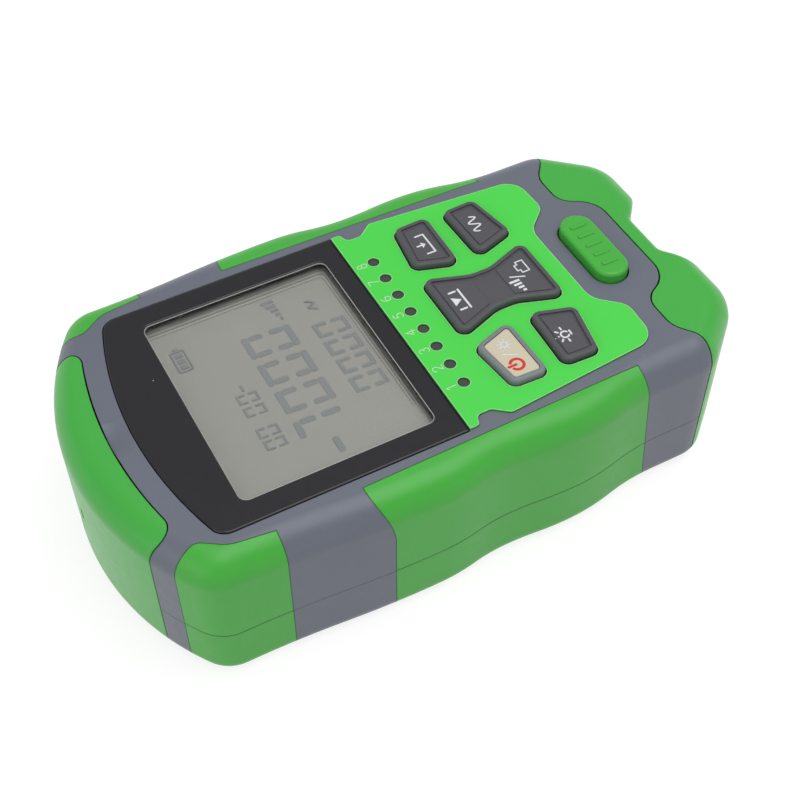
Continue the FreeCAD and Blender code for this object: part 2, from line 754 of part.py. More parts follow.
# ---------------------------------------------------------------- keys
def small_key(side, upper):
    """Outline of one of the four small keys; side is 1 on the right and -1 on the left."""
    high, low = ("upper_key_high", "upper_key_low") if upper else ("lower_key_high", "lower_key_low")
    top_inner = "key_inner" if upper else "key_inner_mid"
    low_inner = "key_inner_mid" if upper else "key_inner"
    top_lift = "+ key_skew" if upper else "- 0.5"
    low_lift = "+ 0.3" if upper else "- 2.0"
    right = [
        corner(top_inner, high + top_lift, round="key_corner"),
        corner(low_inner, low + low_lift, round="key_corner"),
        corner("key_outer + 0.3", low, round="key_corner"),
        corner("key_outer", high, round="key_corner"),
    ]
    if side > 0:
        return right
    return [corner("-(%s)" % c[0], c[1], c[2]) for c in reversed(right)]


ROCKER_MIDDLE = "(rocker_high + rocker_low) / 2"


def rocker_plan():
    """Outline of the waisted rocker key."""
    half = [
        corner("rocker_half", "rocker_low", round="key_corner"),
        corner("rocker_waist", ROCKER_MIDDLE + " - 2", round="7"),
        corner("rocker_waist", ROCKER_MIDDLE + " + 2", round="7"),
        corner("rocker_half", "rocker_high", round="key_corner"),
    ]
    return mirrored(half)


KEY_FOOT = "body_height - wall - 0.35"


def key_body(name, corners):
    """A key: its rounded cap, the flange under the casing and the groove and panel inside its rim."""
    cap = prism(name + "_cap", corners, KEY_FOOT + " - 0.2", "key_top")
    round_over(cap, name + "_edge", "key_round", level_edge("key_top"))
    plan = plan_of(cap)
    flange = slab(name + "_flange", plan, KEY_FOOT + " - key_flange_thick", KEY_FOOT, "key_flange")
    dish = slab(name + "_dish", plan, "key_top - key_dish", "key_top + 1", "-key_rim")
    hollow = cut(name + "_hollow", fuse(name + "_blank", cap, flange), dish)
    panel = slab(name + "_panel", plan, "key_top - key_dish - 0.2", "key_top - key_dish + panel_rise",
                 "-key_rim - key_groove")
    if name == "rocker_key":
        waist = block("rocker_waist_gap", ("-rocker_half", ROCKER_MIDDLE + " - rocker_gap", "0"),
                      ("rocker_half", ROCKER_MIDDLE + " + rocker_gap", ABOVE))
        panel = cut("rocker_panels", panel, waist)
    if name == "power_key":
        return plan, hollow
    return plan, fuse(name, hollow, panel)


KEYS = {
    "save_key": small_key(1, True),
    "wavelength_key": small_key(1, False),
    "power_key": small_key(-1, True),
    "lamp_key": small_key(-1, False),
    "rocker_key": rocker_plan(),
}
key_plans = {}
key_holes = []
for key_name, key_corners in KEYS.items():
    key_plan, key = key_body(key_name, key_corners)
    key_plans[key_name] = key_plan
    key_holes.append(slab(key_name + "_hole", key_plan, "body_height - 6", ABOVE, "key_gap"))
    node(key_name, key)
node("power_key_insert", slab("power_insert", key_plans["power_key"], "key_top - key_dish",
                              "key_top - key_dish + insert_proud", "-key_rim - 0.12"))
key_cuts = group("key_cuts", *key_holes)


# ---------------------------------------------------------------- release button
def pill_plan():
    """Outline of the release button."""
    reach = "pill_half - pill_width / 2"
    low = "pill_place - pill_width / 2"
    high = "pill_place + pill_width / 2"
    return [
        corner("-(%s)" % reach, low),
        corner(reach, low, bow="pill_width / 2 - 0.001"),
        corner(reach, high),
        corner("-(%s)" % reach, high, bow="pill_width / 2 - 0.001"),
    ]


PILL_FOOT = "body_height - 3.4"
SPRING_SEAT = "bay_high + 1.2"
pill = prism("pill", pill_plan(), PILL_FOOT, "pill_top")
round_over(pill, "pill_edge", "pill_round", level_edge("pill_top"))
pill_flange = slab("pill_flange", plan_of(pill), PILL_FOOT + " - 1", PILL_FOOT, "0.8")
pill_stem = rod("pill_stem", "1.4", ("0", "pill_place", SPRING_SEAT + " + 0.2"), "3")
pill_ribs = []
for place in range(-2, 3):
    rib_x = "%d * pill_rib_gap" % place
    rib = block("pill_rib_%d" % (place + 2), (rib_x + " - 0.35", "pill_place - 1.6", "pill_top - 0.5"),
                (rib_x + " + 0.35", "pill_place + 1.6", "pill_top + 0.2"))
    pill_ribs.append(rib)
node("press_button", fuse("press_button", pill, pill_flange, pill_stem, *pill_ribs))
pill_hole = slab("pill_hole", plan_of(pill), "bay_high + 3", ABOVE, "0.3")
pill_room = slab("pill_room", plan_of(pill), SPRING_SEAT, PILL_FOOT + " + 0.2", "1.1")
stem_hole = rod("stem_hole", "1.7", ("0", "pill_place", "bay_high - 1"), "4")


def coil(name, across, along, low, high, radius, turns, wire):
    """A compression spring standing on end: its wire follows a helix."""
    rise = high - low - wire
    path = Part.makeHelix(rise / turns, rise, radius)
    turns_of_six = [math.radians(60 * k) for k in range(7)]
    ring = Part.makePolygon(
        [Vector(radius + wire / 2 * math.cos(t), 0, wire / 2 * math.sin(t)) for t in turns_of_six])
    solid = Part.Wire(path.Edges).makePipeShell([ring], True, True)
    item = doc.addObject("Part::Feature", name)
    item.Shape = solid
    item.Placement = Placement(Vector(across, along, low + wire / 2), Rotation())
    return item


node("release_springs", group("release_springs", *[
    coil("release_spring_%d" % k, side * num("spring_place"), num("pill_place"), num(SPRING_SEAT),
         num(PILL_FOOT) - 1, 1.2, 3, 0.3) for k, side in enumerate((-1, 1))]))


# ---------------------------------------------------------------- optical ports, jacks and torch
def tube(name, outer_steps, bore, bore_deep):
    """A turned port along Y: its outside in steps of (radius, from, to) and a blind bore from its mouth."""
    body = start(name)
    profile = sketch_in(body, name + "_profile")
    corners = []
    for radius, begin, end in outer_steps:
        corners += [corner(radius, begin), corner(radius, end)]
    mouth = outer_steps[-1][2]
    corners += [corner(bore, mouth), corner(bore, "(%s) - (%s)" % (mouth, bore_deep)),
                corner("0", "(%s) - (%s)" % (mouth, bore_deep)), corner("0", outer_steps[0][1])]
    outline(profile, corners)
    turned = body.newObject("PartDesign::Revolution", name + "_turned")
    turned.Profile = profile
    turned.ReferenceAxis = (profile, ["V_Axis"])
    turned.Angle = 360
    return body


def placed(body, across, height):
    """Moves a port to its place in the end wall."""
    bind(body, "Placement.Base.x", across)
    bind(body, "Placement.Base.z", height)
    return body


WALL_IN = "cavity_high"
power_port = tube("power_port", [
    ("power_collar + 0.6", WALL_IN + " - 2.2", WALL_IN),
    ("power_collar", WALL_IN, "port_mouth - 1"),
    ("power_collar - 0.5", "port_mouth - 1", "port_mouth"),
], "port_bore", "port_bore_deep")
node("power_port", placed(power_port, "-port_place", "port_height"))
laser_port = tube("laser_port", [
    ("laser_collar + 1.2", WALL_IN + " - 2.2", WALL_IN),
    ("laser_collar", WALL_IN, "port_mouth - 0.6"),
    ("laser_collar - 0.5", "port_mouth - 0.6", "port_mouth"),
], "port_bore", "port_bore_deep")
node("laser_port", placed(laser_port, "port_place", "port_height"))

photodiode = tube("photodiode", [
    ("2.3", WALL_IN + " - 6.0", WALL_IN + " - 3.2"),
    ("2.7", WALL_IN + " - 3.2", WALL_IN + " - 2.2"),
], "1.0", "0.4")
node("photodiode", placed(photodiode, "-port_place", "port_height"))
laser_module = tube("laser_module", [
    ("2.6", WALL_IN + " - 16.2", WALL_IN + " - 12.2"),
    ("3.4", WALL_IN + " - 12.2", WALL_IN + " - 2.2"),
], "1.0", "0.6")
node("laser_module", placed(laser_module, "port_place", "port_height"))

torch = tube("torch_lamp", [
    ("torch_radius + 0.4", WALL_IN + " - 0.6", WALL_IN),
    ("torch_radius", WALL_IN, "port_mouth - 3.2"),
], "0.5", "0.2")
round_over(torch, "torch_dome", "1.2", lambda edge: edge.BoundBox.YMin > num("port_mouth - 3.3")
           and edge.BoundBox.XLength > 3)
node("torch_lamp", placed(torch, "0", "torch_height"))


def jack(name, face, floor, heading):
    """A network jack: its shell with a stepped socket that opens at its face."""
    back = "(%s) - (%d) * jack_deep" % (face, heading)
    near, far = (back, face) if heading > 0 else (face, back)
    shell = block(name + "_shell", ("-jack_half", near, floor),
                  ("jack_half", far, "(%s) + jack_high" % floor))
    inner = "(%s) - (%d) * socket_deep" % (face, heading)
    outer = "(%s) + (%d)" % (face, heading)
    near, far = (inner, outer) if heading > 0 else (outer, inner)
    low = "(%s) + socket_lift" % floor
    socket = block(name + "_socket", ("-socket_half", near, low),
                   ("socket_half", far, low + " + socket_high"))
    slot = block(name + "_slot", ("-latch_half", near, low + " + socket_high - 0.1"),
                 ("latch_half", far, low + " + socket_high + latch_high"))
    return cut(name, shell, fuse(name + "_room", socket, slot))


def jack_pins(name, face, floor, heading):
    """The eight spring contacts inside a jack."""
    pins = []
    start_at = "(%s) - (%d) * 9.5" % (face, heading)
    end_at = "(%s) - (%d) * 3.0" % (face, heading)
    near, far = (start_at, end_at) if heading > 0 else (end_at, start_at)
    low = "(%s) + socket_lift" % floor
    for k in range(8):
        place = "(%d - 3.5) * 1.02" % k
        pins.append(block("%s_%d" % (name, k + 1), (place + " - 0.2", near, low),
                          (place + " + 0.2", far, low + " + 0.45")))
    return group(name, *pins)


JACK_FLOOR = "board_top - board_thick - jack_high"
node("network_jack", jack("network_jack", "jack_face", JACK_FLOOR, 1))
node("jack_contacts", jack_pins("jack_contacts", "jack_face", JACK_FLOOR, 1))
port_holes = [
    rod("power_hole", "power_collar + port_fit", ("-port_place", WALL_IN + " - 1", "port_height"), "12", "y"),
    rod("laser_hole", "laser_collar + port_fit", ("port_place", WALL_IN + " - 1", "port_height"), "12", "y"),
    rod("torch_hole", "torch_radius + port_fit", ("0", WALL_IN + " - 1", "torch_height"), "12", "y"),
    block("jack_hole", ("-jack_half - port_fit", WALL_IN + " - 1", JACK_FLOOR + " - port_fit"),
          ("jack_half + port_fit", "head_end", "board_top - board_thick + port_fit")),
]
port_cuts = fuse("port_cuts", *port_holes)

# ---------------------------------------------------------------- cavity inside the shells
cavity_plan = prism("cavity_plan", mirrored([
    corner("bay_half + bay_wall", "bay_end + bay_wall"),
    corner("bay_half + bay_wall", "cavity_low"),
    corner(FAR, "cavity_low"),
    corner(FAR, "cavity_high"),
]), "-5", ABOVE)
cavity = common("cavity", cavity_form, cavity_plan)
SCREWS = [(side + "screw_head_place", "screw_head_high") for side in ("", "-")]
SCREWS += [(side + "screw_tail_place", "screw_tail_low") for side in ("", "-")]
thumb_scoop = doc.addObject("Part::Sphere", "thumb_scoop")
bind(thumb_scoop, "Radius", "scoop_radius")
bind(thumb_scoop, "Placement.Base.y", "cover_corner + cover_bow - seam")
bind(thumb_scoop, "Placement.Base.z", "body_height + scoop_radius - scoop_depth")

INDICATORS = ["(%s) * dot_pitch" % (k - 3.5) for k in range(8)]
POCKET_FLOOR = "body_height + overlay_proud - overlay_thick"
lamp_holes = group("lamp_holes", *[
    rod("lamp_hole_%d" % k, "dot_radius - 0.35", (x, "dot_place", "body_height - 4"), "5")
    for k, x in enumerate(INDICATORS)])
rocker_relief = slab("rocker_relief", key_plans["rocker_key"], KEY_FOOT + " - 1",
                     "body_height - wall + 0.45", "1.3")

# ---------------------------------------------------------------- front shell
front_solid = common("front_solid", outer_form, front_half)
front_walls = cut("front_walls", front_solid, cavity)
front_bosses = [
    common("front_boss_%d" % k, seat_form,
           rod("front_boss_rod_%d" % k, "boss_radius", (x, y, FRONT_FOOT), "20"))
    for k, (x, y) in enumerate(SCREWS)
]
PILOT_LONG = "screw_end - parting_height + 2.6"
pilot_holes = [rod("pilot_%d" % k, "screw_radius", (x, y, "parting_height - 2"), PILOT_LONG)
               for k, (x, y) in enumerate(SCREWS)]
front_trimmed = cut("front_trimmed", fuse("front_with_bosses", front_walls, *front_bosses),
                    fuse("front_splits", cover_pocket, remote_pocket, bay))
display_room = fuse("display_room", bezel_pocket, bezel_well)
front_opened = cut("front_opened", front_trimmed, display_room, overlay_pocket,
                   key_cuts, rocker_relief, lamp_holes)
front_drilled = cut("front_drilled", front_opened,
                    fuse("button_room", pill_hole, pill_room, stem_hole), port_cuts,
                    group("pilot_holes", *pilot_holes))
board_posts = [
    rod("board_post_%d" % k, "post_radius", (side + "post_place", y, "board_top"),
        "body_height - wall + 0.2 - board_top")
    for k, (side, y) in enumerate([(s, y) for y in ("post_high", "post_low") for s in ("", "-")])]
front_padded = cut("front_padded", front_drilled, pad_room, thumb_scoop)
node("front_shell", fuse("front_shell", front_padded, *board_posts))

# ---------------------------------------------------------------- rear shell
tray_box = block("tray_box", ("-tray_half - tray_wall", "tray_low - tray_wall", "wall / 2"),
                 ("tray_half + tray_wall", "tray_high + tray_wall", "tray_roof + tray_wall"))
tray_room = block("tray_room", ("-tray_half", "tray_low", "-1"), ("tray_half", "tray_high", "tray_roof"))
rear_solid = common("rear_solid", outer_form, rear_half)
rear_walls = cut("rear_walls", rear_solid, cavity)
rear_bosses = [
    common("rear_boss_%d" % k, seat_form,
           rod("rear_boss_rod_%d" % k, "boss_radius", (x, y, "1"), "parting_height - parting_gap / 2 - 1"))
    for k, (x, y) in enumerate(SCREWS)
]
sill_blank = common("sill_blank", rear_solid, block("sill_block", (
    "-cover_half - seam", "cavity_high", "-1"), ("cover_half + seam", "hinge_lip - seam", "cover_wall")))
hinge_sweep = rod("hinge_sweep", "hinge_sweep", ("-cover_half - 1", "hinge_place", "hinge_height"),
                  "2 * cover_half + 2", "x")
sill = cut("sill", sill_blank, hinge_sweep)
rear_trimmed = cut("rear_trimmed", fuse("rear_with_tray", rear_walls, tray_box, *rear_bosses),
                   fuse("rear_splits", cover_pocket, remote_pocket, bay))
knuckle = rod("knuckle", "knuckle_radius", ("-knuckle_half", "hinge_place", "hinge_height"),
              "2 * knuckle_half", "x")
ARM_FOOT = "hinge_height - knuckle_radius + 0.2"
knuckle_arm = block("knuckle_arm", ("-knuckle_half", "cover_corner + 1", ARM_FOOT),
                    ("knuckle_half", "hinge_place", "hinge_height + 1"))
PIN_START = ("-knuckle_end", "hinge_place", "hinge_height")
pin_hole = rod("pin_hole", "hinge_pin_radius", PIN_START, "2 * knuckle_end", "x")


def door_plan(gap):
    """Outline of the battery door, with its two tabs at the display side, grown by a gap."""
    half = "tray_half + door_lap + (%s)" % gap
    low = "tray_low - door_lap - (%s)" % gap
    high = "tray_high + door_lap + (%s)" % gap
    tab_in = "tab_place - tab_half - (%s)" % gap
    tab_out = "tab_place + tab_half + (%s)" % gap
    side = [
        corner(half, low, round="door_round"),
        corner(half, high, round="door_round"),
        corner(tab_out, high),
        corner(tab_out, high + " + tab_long"),
        corner(tab_in, high + " + tab_long"),
        corner(tab_in, high),
    ]
    return mirrored(side)


door_blank = prism("door_blank", door_plan("0"), "0", "door_thick")
door_slits = [
    block("door_slit_right", ("latch_tab_half", "tray_low - door_lap - 1", "-1"),
          ("latch_tab_half + 0.6", "tray_low + 6", "door_thick + 1")),
    block("door_slit_left", ("-latch_tab_half - 0.6", "tray_low - door_lap - 1", "-1"),
          ("-latch_tab_half", "tray_low + 6", "door_thick + 1")),
]
door_ribs = [
    block("door_groove_%d" % k, ("-latch_tab_half + 1", "tray_low + (%d) * 1.4 - 0.3" % k, "-1"),
          ("latch_tab_half - 1", "tray_low + (%d) * 1.4 + 0.3" % k, "0.4")) for k in range(3)]
node("battery_door", cut("battery_door", door_blank, *(door_slits + door_ribs)))
door_room = prism("door_room", door_plan("door_gap"), "-1", "door_thick")

head_rooms = [rod("head_room_%d" % k, "screw_head_radius + 0.25", (x, y, "-1"), "screw_seat + 1")
              for k, (x, y) in enumerate(SCREWS)]
shank_rooms = [rod("shank_room_%d" % k, "screw_radius + 0.2", (x, y, "screw_seat - 1"), "parting_height")
               for k, (x, y) in enumerate(SCREWS)]
rear_drilled = cut("rear_drilled", fuse("rear_with_knuckle", rear_trimmed, sill, knuckle, knuckle_arm),
                   fuse("rear_openings", tray_room, door_room), port_cuts, pin_hole,
                   group("screw_rooms", *(head_rooms + shank_rooms)))
node("rear_shell", cut("rear_shell", rear_drilled, pad_room))

# ---------------------------------------------------------------- port cover
cover_form = casing_form("cover_form", "cover_wall")
cover_room = common("cover_room", cover_form, block("cover_room_block", (
    "-cover_half + cover_wall", "cavity_high", "-1"), ("cover_half - cover_wall", FAR, "body_height")))
lip_cut = block("lip_cut", ("-" + FAR, "cavity_high", "-1"), (FAR, "hinge_lip", "cover_wall + seam"))
cover_knuckles = [
    rod("cover_knuckle_right", "knuckle_radius", ("knuckle_half + seam", "hinge_place", "hinge_height"),
        "knuckle_end - knuckle_half - seam", "x"),
    rod("cover_knuckle_left", "knuckle_radius", ("-knuckle_end", "hinge_place", "hinge_height"),
        "knuckle_end - knuckle_half - seam", "x"),
]
knuckle_rooms = [
    block("knuckle_notch", ("-knuckle_half - seam", "cavity_high", "-1"),
          ("knuckle_half + seam", "hinge_place + knuckle_radius + 0.1", "hinge_height")),
    rod("knuckle_room", "knuckle_radius + 0.25", ("-knuckle_half - seam", "hinge_place", "hinge_height"),
        "2 * (knuckle_half + seam)", "x"),
    rod("cover_pin_hole", "hinge_pin_radius + hinge_fit", ("-knuckle_end - 1", "hinge_place", "hinge_height"),
        "2 * (knuckle_end + 1)", "x"),
]
finger_dent = doc.addObject("Part::Sphere", "finger_dent")
bind(finger_dent, "Radius", "5")
bind(finger_dent, "Placement.Base.x", "6")
bind(finger_dent, "Placement.Base.y", "head_end + 4.0")
bind(finger_dent, "Placement.Base.z", "6.5")
sight_slit = block("sight_slit", ("-0.5", "head_end - 0.6", "body_height / 2 - 1.5"),
                   ("0.5", "head_end + 1", "body_height / 2 + 1.5"))
cover_shell = cut("cover_shell", common("cover_blank", outer_form, cover_block), cover_room, lip_cut)
node("port_cover", cut("port_cover", fuse("cover_with_knuckles", cover_shell, *cover_knuckles),
                                    *(knuckle_rooms + [finger_dent, sight_slit])))
node("cover_hinge_pin", rod("cover_hinge_pin", "hinge_pin_radius", PIN_START, "2 * knuckle_end", "x"))


# ---------------------------------------------------------------- display
def window_plan(grow):
    """Outline of the display window, grown all round."""
    half = "window_half + (%s)" % grow
    low = "window_low - (%s)" % grow
    high = "window_high + (%s)" % grow
    bend = "window_round + (%s)" % grow
    return mirrored([corner(half, low, round=bend), corner(half, high, round=bend)])


LENS_TOP = "body_height - lens_sink"
LENS_FOOT = LENS_TOP + " - lens_thick"
PANEL_TOP = LENS_FOOT + " - panel_gap"
bezel_lip = bezel_block("bezel_lip", "0", "body_height - bezel_lip", "body_height + bezel_proud")
bezel_wall = bezel_block("bezel_wall", "bezel_ledge + 0.2", "body_height - bezel_drop",
                         "body_height - bezel_lip")
window_hole = prism("window_hole", window_plan("0"), "body_height - 8", ABOVE)
lens_room = prism("lens_room", window_plan("lens_lap + 0.1"), "body_height - 8", LENS_TOP)
bezel_cut = cut("bezel_cut", fuse("bezel_blank", bezel_lip, bezel_wall), window_hole, lens_room)
screen_bezel = node("screen_bezel", body_from("screen_bezel", bezel_cut))
round_over(screen_bezel, "bezel_edges", "bezel_edge", level_edge("body_height + bezel_proud"))
node("display_lens", prism("display_lens", window_plan("lens_lap"), LENS_FOOT, LENS_TOP))
node("lcd_panel", prism("lcd_panel", window_plan("panel_lap"), PANEL_TOP + " - panel_thick", PANEL_TOP))
PANEL_FOOT = PANEL_TOP + " - panel_thick"
node("back_light", prism("back_light", window_plan("panel_lap - 0.2"), "board_top", PANEL_FOOT))

# ---------------------------------------------------------------- overlay and its indicator windows
dot_holes = [rod("dot_hole_%d" % k, "dot_radius", (x, "dot_place", "body_height - 4"), "8")
             for k, x in enumerate(INDICATORS)]
node("keypad_overlay", cut("keypad_overlay", overlay_blank, key_cuts, group("dot_holes", *dot_holes)))
node("indicator_windows", group("indicator_windows", *[
    rod("indicator_window_%d" % (k + 1), "dot_radius", (x, "dot_place", POCKET_FLOOR), "dot_depth")
    for k, x in enumerate(INDICATORS)]))

# ---------------------------------------------------------------- main board and what it carries
board_blank = block("board_blank", ("-board_half", "board_low", "board_top - board_thick"),
                    ("board_half", "board_high", "board_top"))
board_notches = [rod("board_notch_%d" % k, "boss_radius + 0.3", (x, y, "0"), "body_height")
                 for k, (x, y) in enumerate(SCREWS[:2])]
node("main_board", cut("main_board", board_blank, *board_notches))
BOARD_FOOT = "board_top - board_thick"
node("indicator_leds", group("indicator_leds", *[
    block("indicator_led_%d" % (k + 1), (x + " - 0.8", "dot_place - 0.5", "board_top"),
          (x + " + 0.8", "dot_place + 0.5", "board_top + 0.8")) for k, x in enumerate(INDICATORS)]))
mat_plate = block("mat_plate", ("-board_half + 4.5", "board_low + 0.3", "board_top"),
                  ("board_half - 4.5", "dot_place - 2.5", "board_top + mat_thick"))
MAT_TOP = KEY_FOOT + " - key_flange_thick - key_travel - mat_gap"
KEY_MIDDLES = [
    ("15.3", "(upper_key_high + upper_key_low) / 2 + 0.4"),
    ("15.6", "(lower_key_high + lower_key_low) / 2 - 0.6"),
]
MAT_SPOTS = [(side + x, y) for x, y in KEY_MIDDLES for side in ("", "-")]
MAT_SPOTS += [("0", "rocker_high - 4.2"), ("0", "rocker_low + 4.2")]
mat_domes = [rod("mat_dome_%d" % k, "2.6", (x, y, "board_top + 0.5"), "(%s) - board_top - 0.5" % MAT_TOP)
             for k, (x, y) in enumerate(MAT_SPOTS)]
node("keypad_mat", fuse("keypad_mat", mat_plate, *mat_domes))
node("controller_chip", block("controller_chip", ("-7", "4", BOARD_FOOT + " - 1.4"), ("7", "18", BOARD_FOOT)))
node("amplifier_chip", block("amplifier_chip", ("-20", "24", BOARD_FOOT + " - 1.6"),
                             ("-14", "30", BOARD_FOOT)))
node("buzzer", rod("buzzer", "5", ("13", "-14", BOARD_FOOT + " - 4.5"), "4.5"))

# ---------------------------------------------------------------- batteries
CELL_AXIS = "cell_floor + cell_radius"
CELL_END = "tray_high - plate_thick"
for k, place in enumerate(("-cell_pitch", "0", "cell_pitch")):
    stem = "battery_cell_%d" % (k + 1)
    if k == 1:
        can_low, cap_low, cap_high = CELL_END + " - cell_length + 1", CELL_END + " - cell_length", "2"
    else:
        can_low, cap_low, cap_high = CELL_END + " - cell_length", CELL_END + " - 2", "2"
    can = rod(stem + "_can", "cell_radius", (place, can_low, CELL_AXIS), "cell_length - 1", "y")
    cap = rod(stem + "_cap", "1.9", (place, cap_low, CELL_AXIS), cap_high, "y")
    node(stem, fuse(stem, can, cap))
node("battery_plates", group("battery_plates", *[
    block("battery_plate_%d" % k, ("(%d) * cell_pitch - 3.8" % k, CELL_END, CELL_AXIS + " - 3.8"),
          ("(%d) * cell_pitch + 3.8" % k, "tray_high", CELL_AXIS + " + 3.8")) for k in (-1, 0, 1)]))


def cell_spring(name, across):
    """A battery spring along Y, from the tray's end to the cell."""
    reach = num(CELL_END) - num("cell_length") - num("tray_low")
    item = coil(name, 0, 0, 0, reach, 2.6, 3, 0.5)
    foot = Vector(across, num("tray_low") + 0.25, num(CELL_AXIS))
    item.Placement = Placement(foot, Rotation(Vector(1, 0, 0), -90))
    return item


node("battery_springs", group("battery_springs", *[
    cell_spring("battery_spring_%d" % (k + 2), k * num("cell_pitch")) for k in (-1, 0, 1)]))

# ---------------------------------------------------------------- case screws
screws = []
for k, (x, y) in enumerate(SCREWS):
    head = rod("screw_head_%d" % k, "screw_head_radius", (x, y, "screw_seat - screw_head_thick"),
               "screw_head_thick")
    shank = rod("screw_shank_%d" % k, "screw_radius", (x, y, "screw_seat - 0.5"),
                "screw_end - screw_seat + 0.5")
    slot_x = block("screw_slot_x_%d" % k, (x + " - 1.4", y + " - 0.3", "screw_seat - screw_head_thick - 1"),
                   (x + " + 1.4", y + " + 0.3", "screw_seat - screw_head_thick + 0.9"))
    slot_y = block("screw_slot_y_%d" % k, (x + " - 0.3", y + " - 1.4", "screw_seat - screw_head_thick - 1"),
                   (x + " + 0.3", y + " + 1.4", "screw_seat - screw_head_thick + 0.9"))
    screws.append(cut("case_screw_%d" % (k + 1), fuse("screw_blank_%d" % k, head, shank), slot_x, slot_y))
node("case_screws", group("case_screws", *screws))

# ---------------------------------------------------------------- remote unit
REMOTE_FLOOR = "bay_low + slide_gap + 1.2"
tenon = block("tenon", ("-bay_half + slide_gap", "-split_tip - 1.5", "bay_low + slide_gap"),
              ("bay_half - slide_gap", "bay_end - slide_gap", "bay_high - slide_gap"))
notch = prism("notch", [
    corner("-notch_mouth - 3.75", "-tail_end - 3"),
    corner("notch_mouth + 3.75", "-tail_end - 3"),
    corner("notch_floor", "-notch_place", round="notch_round"),
    corner("-notch_floor", "-notch_place", round="notch_round"),
], "-5", ABOVE)
remote_room = block("remote_room", ("-jack_half - 1.5", "-notch_place", REMOTE_FLOOR),
                    ("jack_half + 1.5", "bay_end - slide_gap - 1.2", REMOTE_FLOOR + " + jack_high"))
SOCKET_FOOT = REMOTE_FLOOR + " + socket_lift"
SOCKET_TOP = SOCKET_FOOT + " + socket_high"
plug_way = block("plug_way", ("-socket_half - 0.2", "-" + FAR, SOCKET_FOOT + " - 0.2"),
                 ("socket_half + 0.2", "-notch_place + 1", SOCKET_TOP + " + 0.2"))
latch_way = block("latch_way", ("-latch_half - 0.2", "-" + FAR, SOCKET_TOP + " - 1"),
                  ("latch_half + 0.2", "-notch_place + 1", SOCKET_TOP + " + latch_high + 0.2"))
remote_notched = cut("remote_notched", common("remote_blank", outer_form, remote_block), notch)
remote_form = body_from("remote_form", remote_notched)


def along_notch(edge):
    """True for the edges where the notch meets the front and back faces and the end's roundings."""
    box = edge.BoundBox
    inside = max(abs(box.XMin), abs(box.XMax)) < num("notch_mouth + 4")
    outside = box.YMax < -num("notch_place") + 0.5
    level = box.ZLength < 0.01 and (abs(box.ZMax - num("body_height")) < 0.01 or abs(box.ZMin) < 0.01)
    at_end = box.YMax < -num("tail_end") + 0.01 and box.XLength > 2 * num("notch_mouth")
    return inside and outside and level and not at_end


round_over(remote_form, "notch_edges", "notch_edge", along_notch)
remote_body = fuse("remote_body", remote_form, tenon)
node("remote_housing", cut("remote_housing", remote_body, remote_room, plug_way, latch_way))
node("remote_jack", jack("remote_jack", "-notch_place", REMOTE_FLOOR, -1))
node("remote_contacts", jack_pins("remote_contacts", "-notch_place", REMOTE_FLOOR, -1))
JACK_BACK = "-notch_place + jack_deep"
node("remote_board", block("remote_board", ("-jack_half - 1.2", JACK_BACK, REMOTE_FLOOR),
                           ("jack_half + 1.2", JACK_BACK + " + 1.2", REMOTE_FLOOR + " + jack_high - 0.4")))

# ---------------------------------------------------------------- final checks and files
doc.recompute()
broken = [item.Name for item in doc.Objects if "Invalid" in item.State or "Error" in item.State]
if broken:
    raise RuntimeError("these objects did not build: " + ", ".join(broken))
for name, item in NODES.items():
    if item.Shape.isNull() or not item.Shape.isValid() or not item.Shape.Solids:
        raise RuntimeError(name + " is not a valid solid")
os.makedirs("parts", exist_ok=True)
for name, item in NODES.items():
    item.Shape.exportStep("parts/%s.step" % name)
print(len(NODES), "pieces written")
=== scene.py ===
"""Dresses the optical power meter: finishes, printed marks, display segments, light and camera.
"""

from __future__ import annotations

import logging
import math
from collections.abc import Callable, Iterable
from dataclasses import dataclass, field
from enum import Enum

import bmesh
import bpy
from mathutils import Matrix, Vector
from mathutils.bvhtree import BVHTree

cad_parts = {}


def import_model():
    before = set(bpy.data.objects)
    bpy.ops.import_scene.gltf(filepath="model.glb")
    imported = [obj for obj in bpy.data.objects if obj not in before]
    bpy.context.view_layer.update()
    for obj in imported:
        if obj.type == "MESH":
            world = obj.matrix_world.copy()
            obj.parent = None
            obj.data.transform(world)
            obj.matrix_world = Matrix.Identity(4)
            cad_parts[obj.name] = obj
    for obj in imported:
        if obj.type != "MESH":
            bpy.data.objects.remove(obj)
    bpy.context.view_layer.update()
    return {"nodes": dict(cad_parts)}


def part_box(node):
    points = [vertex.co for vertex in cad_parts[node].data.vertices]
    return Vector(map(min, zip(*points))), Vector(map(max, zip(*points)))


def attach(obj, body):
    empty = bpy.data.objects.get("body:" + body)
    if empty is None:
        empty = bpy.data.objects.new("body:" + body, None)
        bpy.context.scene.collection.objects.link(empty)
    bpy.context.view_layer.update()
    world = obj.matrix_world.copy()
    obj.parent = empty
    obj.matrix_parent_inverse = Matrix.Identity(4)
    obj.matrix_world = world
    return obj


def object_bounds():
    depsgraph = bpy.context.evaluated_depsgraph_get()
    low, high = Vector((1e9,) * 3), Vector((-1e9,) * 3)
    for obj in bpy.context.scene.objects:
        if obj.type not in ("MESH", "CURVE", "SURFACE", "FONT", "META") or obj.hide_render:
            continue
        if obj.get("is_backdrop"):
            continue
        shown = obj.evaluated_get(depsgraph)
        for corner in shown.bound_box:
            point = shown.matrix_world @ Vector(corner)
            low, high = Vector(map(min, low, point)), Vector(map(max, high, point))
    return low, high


MM = 0.001
Colour = tuple[float, float, float]
Flat = tuple[float, float]
Socket = bpy.types.NodeSocket
BEVEL_SAMPLES = 6
FLAT_COSINE = 0.99  # between the rounded and the plain normal, where rubbed wear and painted edge highlights start
EDGE_COSINE = 0.86  # the same where they are full
NOISE_FROM = 0.3  # below this a soft noise counts as its lowest
NOISE_TO = 0.7  # above this it counts as its highest
